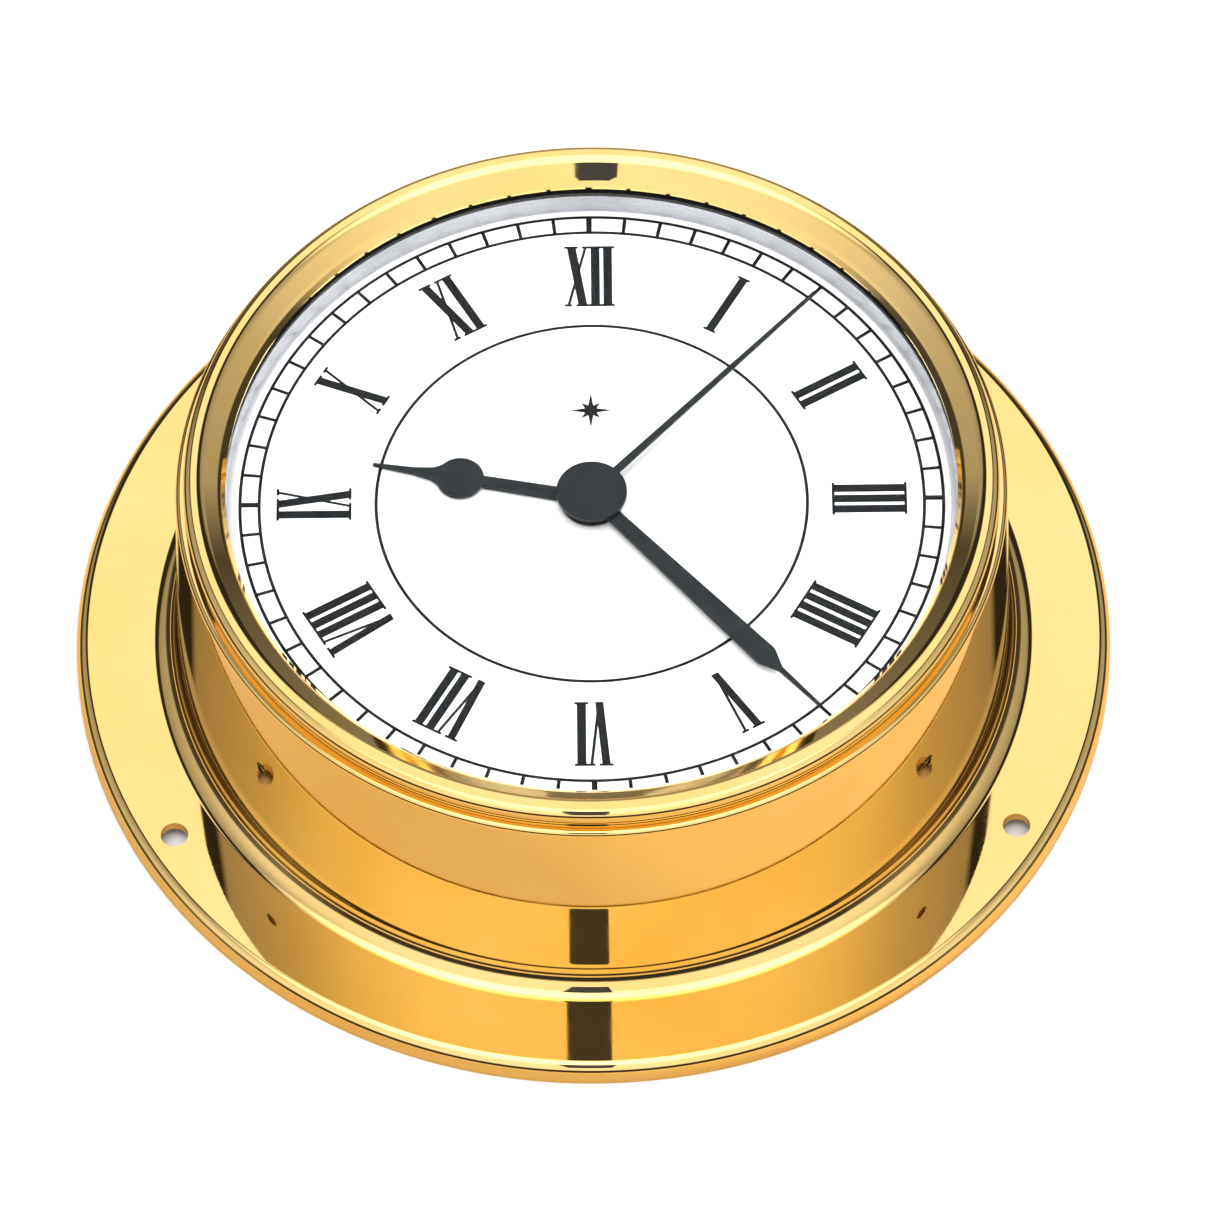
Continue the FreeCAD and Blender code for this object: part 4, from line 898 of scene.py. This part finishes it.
class CLOCK_OT_numerals(Operator):
    """Print the twelve Roman numerals with their feet towards the centre"""

    bl_idname = "clock.numerals"
    bl_label = "Numerals"

    def execute(self, context):
        size = sizes()
        for hour, text in enumerate(NUMERALS):
            turn = hour * 360 / HOURS
            up, right = Vector(bearing(turn)), Vector(bearing(turn + 90))
            outlines = [[right * point.x + up * (size.numeral_foot + point.y) for point in shape]
                        for shape in numeral_outlines(text)]
            ink(print_shape("numeral_%02d" % (hour or HOURS), outlines, DIAL_TOP, size.print_lift))
        return {"FINISHED"}


class CLOCK_OT_centre_print(Operator):
    """Print the thin centre ring and a small compass star"""

    bl_idname = "clock.centre_print"
    bl_label = "Centre Print"

    def execute(self, context):
        size = sizes()
        printed_ring("centre_ring", size.centre_ring)
        middle = Vector((0, size.star_place))
        rays = []
        for k in range(STAR_RAYS):
            turn = k * 360 / STAR_RAYS
            out, across = Vector(bearing(turn)), Vector(bearing(turn + 90))
            tip = out * size.star_radius * (1.0 if k % 2 == 0 else SHORT_RAY)
            side = across * size.star_radius * RAY_HALF_WIDTH
            hip = out * size.star_radius * RAY_HIP
            rays.append([middle, middle + hip + side, middle + tip, middle + hip - side])
        ink(print_shape("compass_star", rays, DIAL_TOP, size.print_lift))
        return {"FINISHED"}


class CLOCK_OT_hands(Operator):
    """Lacquer the three hands and soften their stamped edges"""

    bl_idname = "clock.hands"
    bl_label = "Hands"

    def execute(self, context):
        for name in ("hour_hand", "minute_hand", "seconds_hand"):
            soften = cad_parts[name].modifiers.new("soft_edge", "BEVEL")
            soften.width = sizes().hand_bevel
            soften.segments = 2
            soften.limit_method = "ANGLE"
            soften.angle_limit = BEVEL_FROM
            paint_nodes(name)
        return {"FINISHED"}


class CLOCK_OT_movement(Operator):
    """Finish the pan, the movement's housing and cover, their screws and the setting knob"""

    bl_idname = "clock.movement"
    bl_label = "Movement"

    def execute(self, context):
        paint_nodes("movement_carrier", "movement_screws", "movement_case", "movement_cover", "cover_screws",
                    "setting_knob")
        return {"FINISHED"}


class CLOCK_OT_train(Operator):
    """Finish the wheels, posts and arbors"""

    bl_idname = "clock.train"
    bl_label = "Wheel Train"

    def execute(self, context):
        paint_nodes("rotor_magnet", "rotor_pinion", "intermediate_wheel", "seconds_wheel", "seconds_arbor",
                    "third_wheel", "centre_wheel", "minute_tube", "motion_wheel", "hour_wheel",
                    "setting_pinion", "wheel_posts", "motion_post")
        return {"FINISHED"}


class CLOCK_OT_electrics(Operator):
    """Finish the cell, its contacts, the circuit and the motor"""

    bl_idname = "clock.electrics"
    bl_label = "Cell, Circuit and Motor"

    def execute(self, context):
        paint_nodes("battery_cell", "battery_contact_positive", "battery_contact_negative", "circuit_board",
                    "quartz_crystal", "control_chip", "stator_plate", "coil_core", "drive_coil")
        return {"FINISHED"}


# ---------------- stage

def light_tent():
    """Plain studio tent: brightest overhead, lit over front and back, dim at the sides and low down."""
    world = bpy.data.worlds.new("light_tent")
    world.use_nodes = True
    tree = world.node_tree
    tree.nodes.clear()
    node, join = partial(new_node, tree), tree.links.new

    def ramp(fac, stops):
        made = node("ShaderNodeValToRGB")
        made.color_ramp.interpolation = "LINEAR"
        while len(made.color_ramp.elements) < len(stops):
            made.color_ramp.elements.new(0.5)
        for element, (spot, level) in zip(made.color_ramp.elements, stops):
            element.position = spot
            element.color = (level, level, level, 1.0)
        join(fac, made.inputs["Fac"])
        return made.outputs["Color"]

    place = node("ShaderNodeTexCoord").outputs["Generated"]
    apart = node("ShaderNodeSeparateXYZ")
    join(place, apart.inputs[0])
    side = node("ShaderNodeMath", operation="ABSOLUTE")
    join(apart.outputs["X"], side.inputs[0])
    ahead = node("ShaderNodeMath", {1: -1.0}, operation="MULTIPLY")
    join(apart.outputs["Y"], ahead.inputs[0])
    turn = node("ShaderNodeMath", operation="ARCTAN2")
    join(side.outputs[0], turn.inputs[0])
    join(ahead.outputs[0], turn.inputs[1])
    share = node("ShaderNodeMath", {1: math.pi}, operation="DIVIDE")
    join(turn.outputs[0], share.inputs[0])

    def rise(edge, below, above=None):
        """From below to above, or to full white, over the heights of this edge."""
        up = node("ShaderNodeMapRange", {"From Min": edge[0], "From Max": edge[1]})
        join(apart.outputs["Z"], up.inputs["Value"])
        both = node("ShaderNodeMix", {"B": (1.0, 1.0, 1.0, 1.0)}, data_type="RGBA")
        join(up.outputs["Result"], both.inputs["Factor"])
        join(below, both.inputs["A"])
        if above:
            join(above, both.inputs["B"])
        return both.outputs["Result"]

    walls = rise(WALL_EDGE, ramp(share.outputs[0], LOW_TENT), ramp(share.outputs[0], HIGH_TENT))
    sky = rise(SKY_EDGE, walls)
    tent = node("ShaderNodeBackground", {"Strength": studio().sky})
    join(sky, tent.inputs["Color"])
    plain = node("ShaderNodeBackground", {"Color": SEEN_TENT})
    path = node("ShaderNodeLightPath")
    seen = node("ShaderNodeMixShader")
    join(path.outputs["Is Camera Ray"], seen.inputs["Fac"])
    join(tent.outputs[0], seen.inputs[1])
    join(plain.outputs[0], seen.inputs[2])
    output = node("ShaderNodeOutputWorld")
    join(seen.outputs[0], output.inputs["Surface"])
    bpy.context.scene.world = world


def soft_lamp(name, place, across, power):
    """A soft lamp that points at the clock and leaves no mirror image of itself."""
    lamp = bpy.data.lights.new(name, "AREA")
    lamp.shape = "DISK"
    lamp.size = across
    lamp.energy = power
    holder = in_scene(name, lamp)
    holder.location = place
    holder.rotation_mode = "QUATERNION"
    holder.rotation_quaternion = Vector(place).to_track_quat("Z", "Y")
    holder.visible_glossy = False


def lay_sheet(name, outline, finish_name, grain, first, second, roughness=0.9):
    """A flat matt sheet of the stage."""
    sheet = add_mesh(name, outline, [tuple(range(len(outline)))])
    coat = Finish(finish_name, roughness=roughness)
    coat.colour_from(coat.noise(*grain), first, second)
    coat.shader.inputs["Specular IOR Level"].default_value = 0.0
    sheet.data.materials.append(coat.material)
    return sheet


def rectangle(half_width, half_height):
    return [(-half_width, -half_height, 0), (half_width, -half_height, 0), (half_width, half_height, 0),
            (-half_width, half_height, 0)]


def only_mirrored(piece):
    """Leaves a piece of the stage to reflections alone."""
    piece.visible_camera = piece.visible_diffuse = piece.visible_shadow = piece.visible_transmission = False


class CLOCK_OT_stage(Operator):
    """Lay the pale floor and a painted-shade sheet that only reflections see, hang the lights and the camera
    with its dark card
    """

    bl_idname = "clock.stage"
    bl_label = "Stage"

    def execute(self, context):
        look = studio()
        scene = context.scene
        floor = lay_sheet("floor", rectangle(FLOOR_REACH, FLOOR_REACH), "floor_paper", (3.0, 3.0),
                          look.floor, 0.99)
        floor.location.z = -FLOOR_DROP
        floor.visible_glossy = False
        # painted shade: a darker, warmer sheet on the floor that only reflections see, standing in for the
        # floor's shade and the brass-coloured light thrown on it near the clock
        spokes = [bearing(i * 360 / SHADE_MIRROR_STEPS, look.shade_mirror_radius) for i in range(SHADE_MIRROR_STEPS, 0, -1)]
        mat = lay_sheet("floor_mat", [(x, y, SHADE_MIRROR_LIFT) for x, y in spokes], "mat_paper", (3.0, 3.0),
                        look.mat, 0.99)
        only_mirrored(mat)
        back = Vector((0, -math.cos(look.elevation), math.sin(look.elevation)))
        eye = Vector(look.target) + back * look.distance
        aim = back.to_track_quat("Z", "Y")
        lens = bpy.data.cameras.new("camera")
        lens.lens = look.lens
        lens.sensor_width = SENSOR_WIDTH
        lens.clip_start, lens.clip_end = LENS_RANGE
        camera = in_scene("camera", lens)
        camera.rotation_mode = "QUATERNION"
        camera.location = eye
        camera.rotation_quaternion = aim @ Quaternion((0, 0, 1), look.roll)
        scene.camera = camera
        card = lay_sheet("camera_card", rectangle(look.card_width / 2, look.card_height / 2), "card_felt",
                         (300.0,), *CARD_FELT, roughness=1.0)
        card.rotation_mode = "QUATERNION"
        card.rotation_quaternion = aim
        card.location = eye + back * CARD_GAP + Vector((look.card_shift, 0, 0))
        only_mirrored(card)
        soft_lamp("key_lamp", *KEY_LAMP, look.key_power)
        soft_lamp("fill_lamp", *FILL_LAMP, look.fill_power)
        light_tent()
        scene.view_settings.view_transform = "Standard"
        scene.view_settings.look = "None"
        return {"FINISHED"}


OPERATORS = (CLOCK_OT_case, CLOCK_OT_bezel, CLOCK_OT_glass, CLOCK_OT_dial, CLOCK_OT_minute_track,
             CLOCK_OT_numerals, CLOCK_OT_centre_print, CLOCK_OT_hands, CLOCK_OT_movement, CLOCK_OT_train,
             CLOCK_OT_electrics, CLOCK_OT_stage)


class VIEW3D_PT_deck_clock(Panel):
    """Lists the clock's pieces, sizes and colours"""

    bl_label = "Deck Clock"
    bl_idname = "VIEW3D_PT_deck_clock"
    bl_space_type = "VIEW_3D"
    bl_region_type = "UI"
    bl_category = "Deck Clock"

    def draw(self, context):
        for operator in OPERATORS:
            self.layout.operator(operator.bl_idname)
        for title, group in (("Sizes", sizes()), ("Colours", colours()), ("Studio", studio())):
            box = self.layout.box()
            box.label(text=title)
            for name in group.__annotations__:
                box.prop(group, name)


CLASSES = (DeckClockSizes, DeckClockColours, DeckClockStudio, *OPERATORS, VIEW3D_PT_deck_clock)
GROUPS = {"deck_clock_sizes": DeckClockSizes, "deck_clock_colours": DeckClockColours,
          "deck_clock_studio": DeckClockStudio}


def register():
    for entry in CLASSES:
        bpy.utils.register_class(entry)
    for name, group in GROUPS.items():
        setattr(bpy.types.Scene, name, PointerProperty(type=group))


def unregister():
    for name in GROUPS:
        delattr(bpy.types.Scene, name)
    for entry in reversed(CLASSES):
        bpy.utils.unregister_class(entry)


def main():
    """Builds the clock piece by piece, then the stage."""
    register()
    for operator in OPERATORS:
        getattr(bpy.ops.clock, operator.bl_idname.split(".")[1])()


if __name__ == "__main__":
    main()
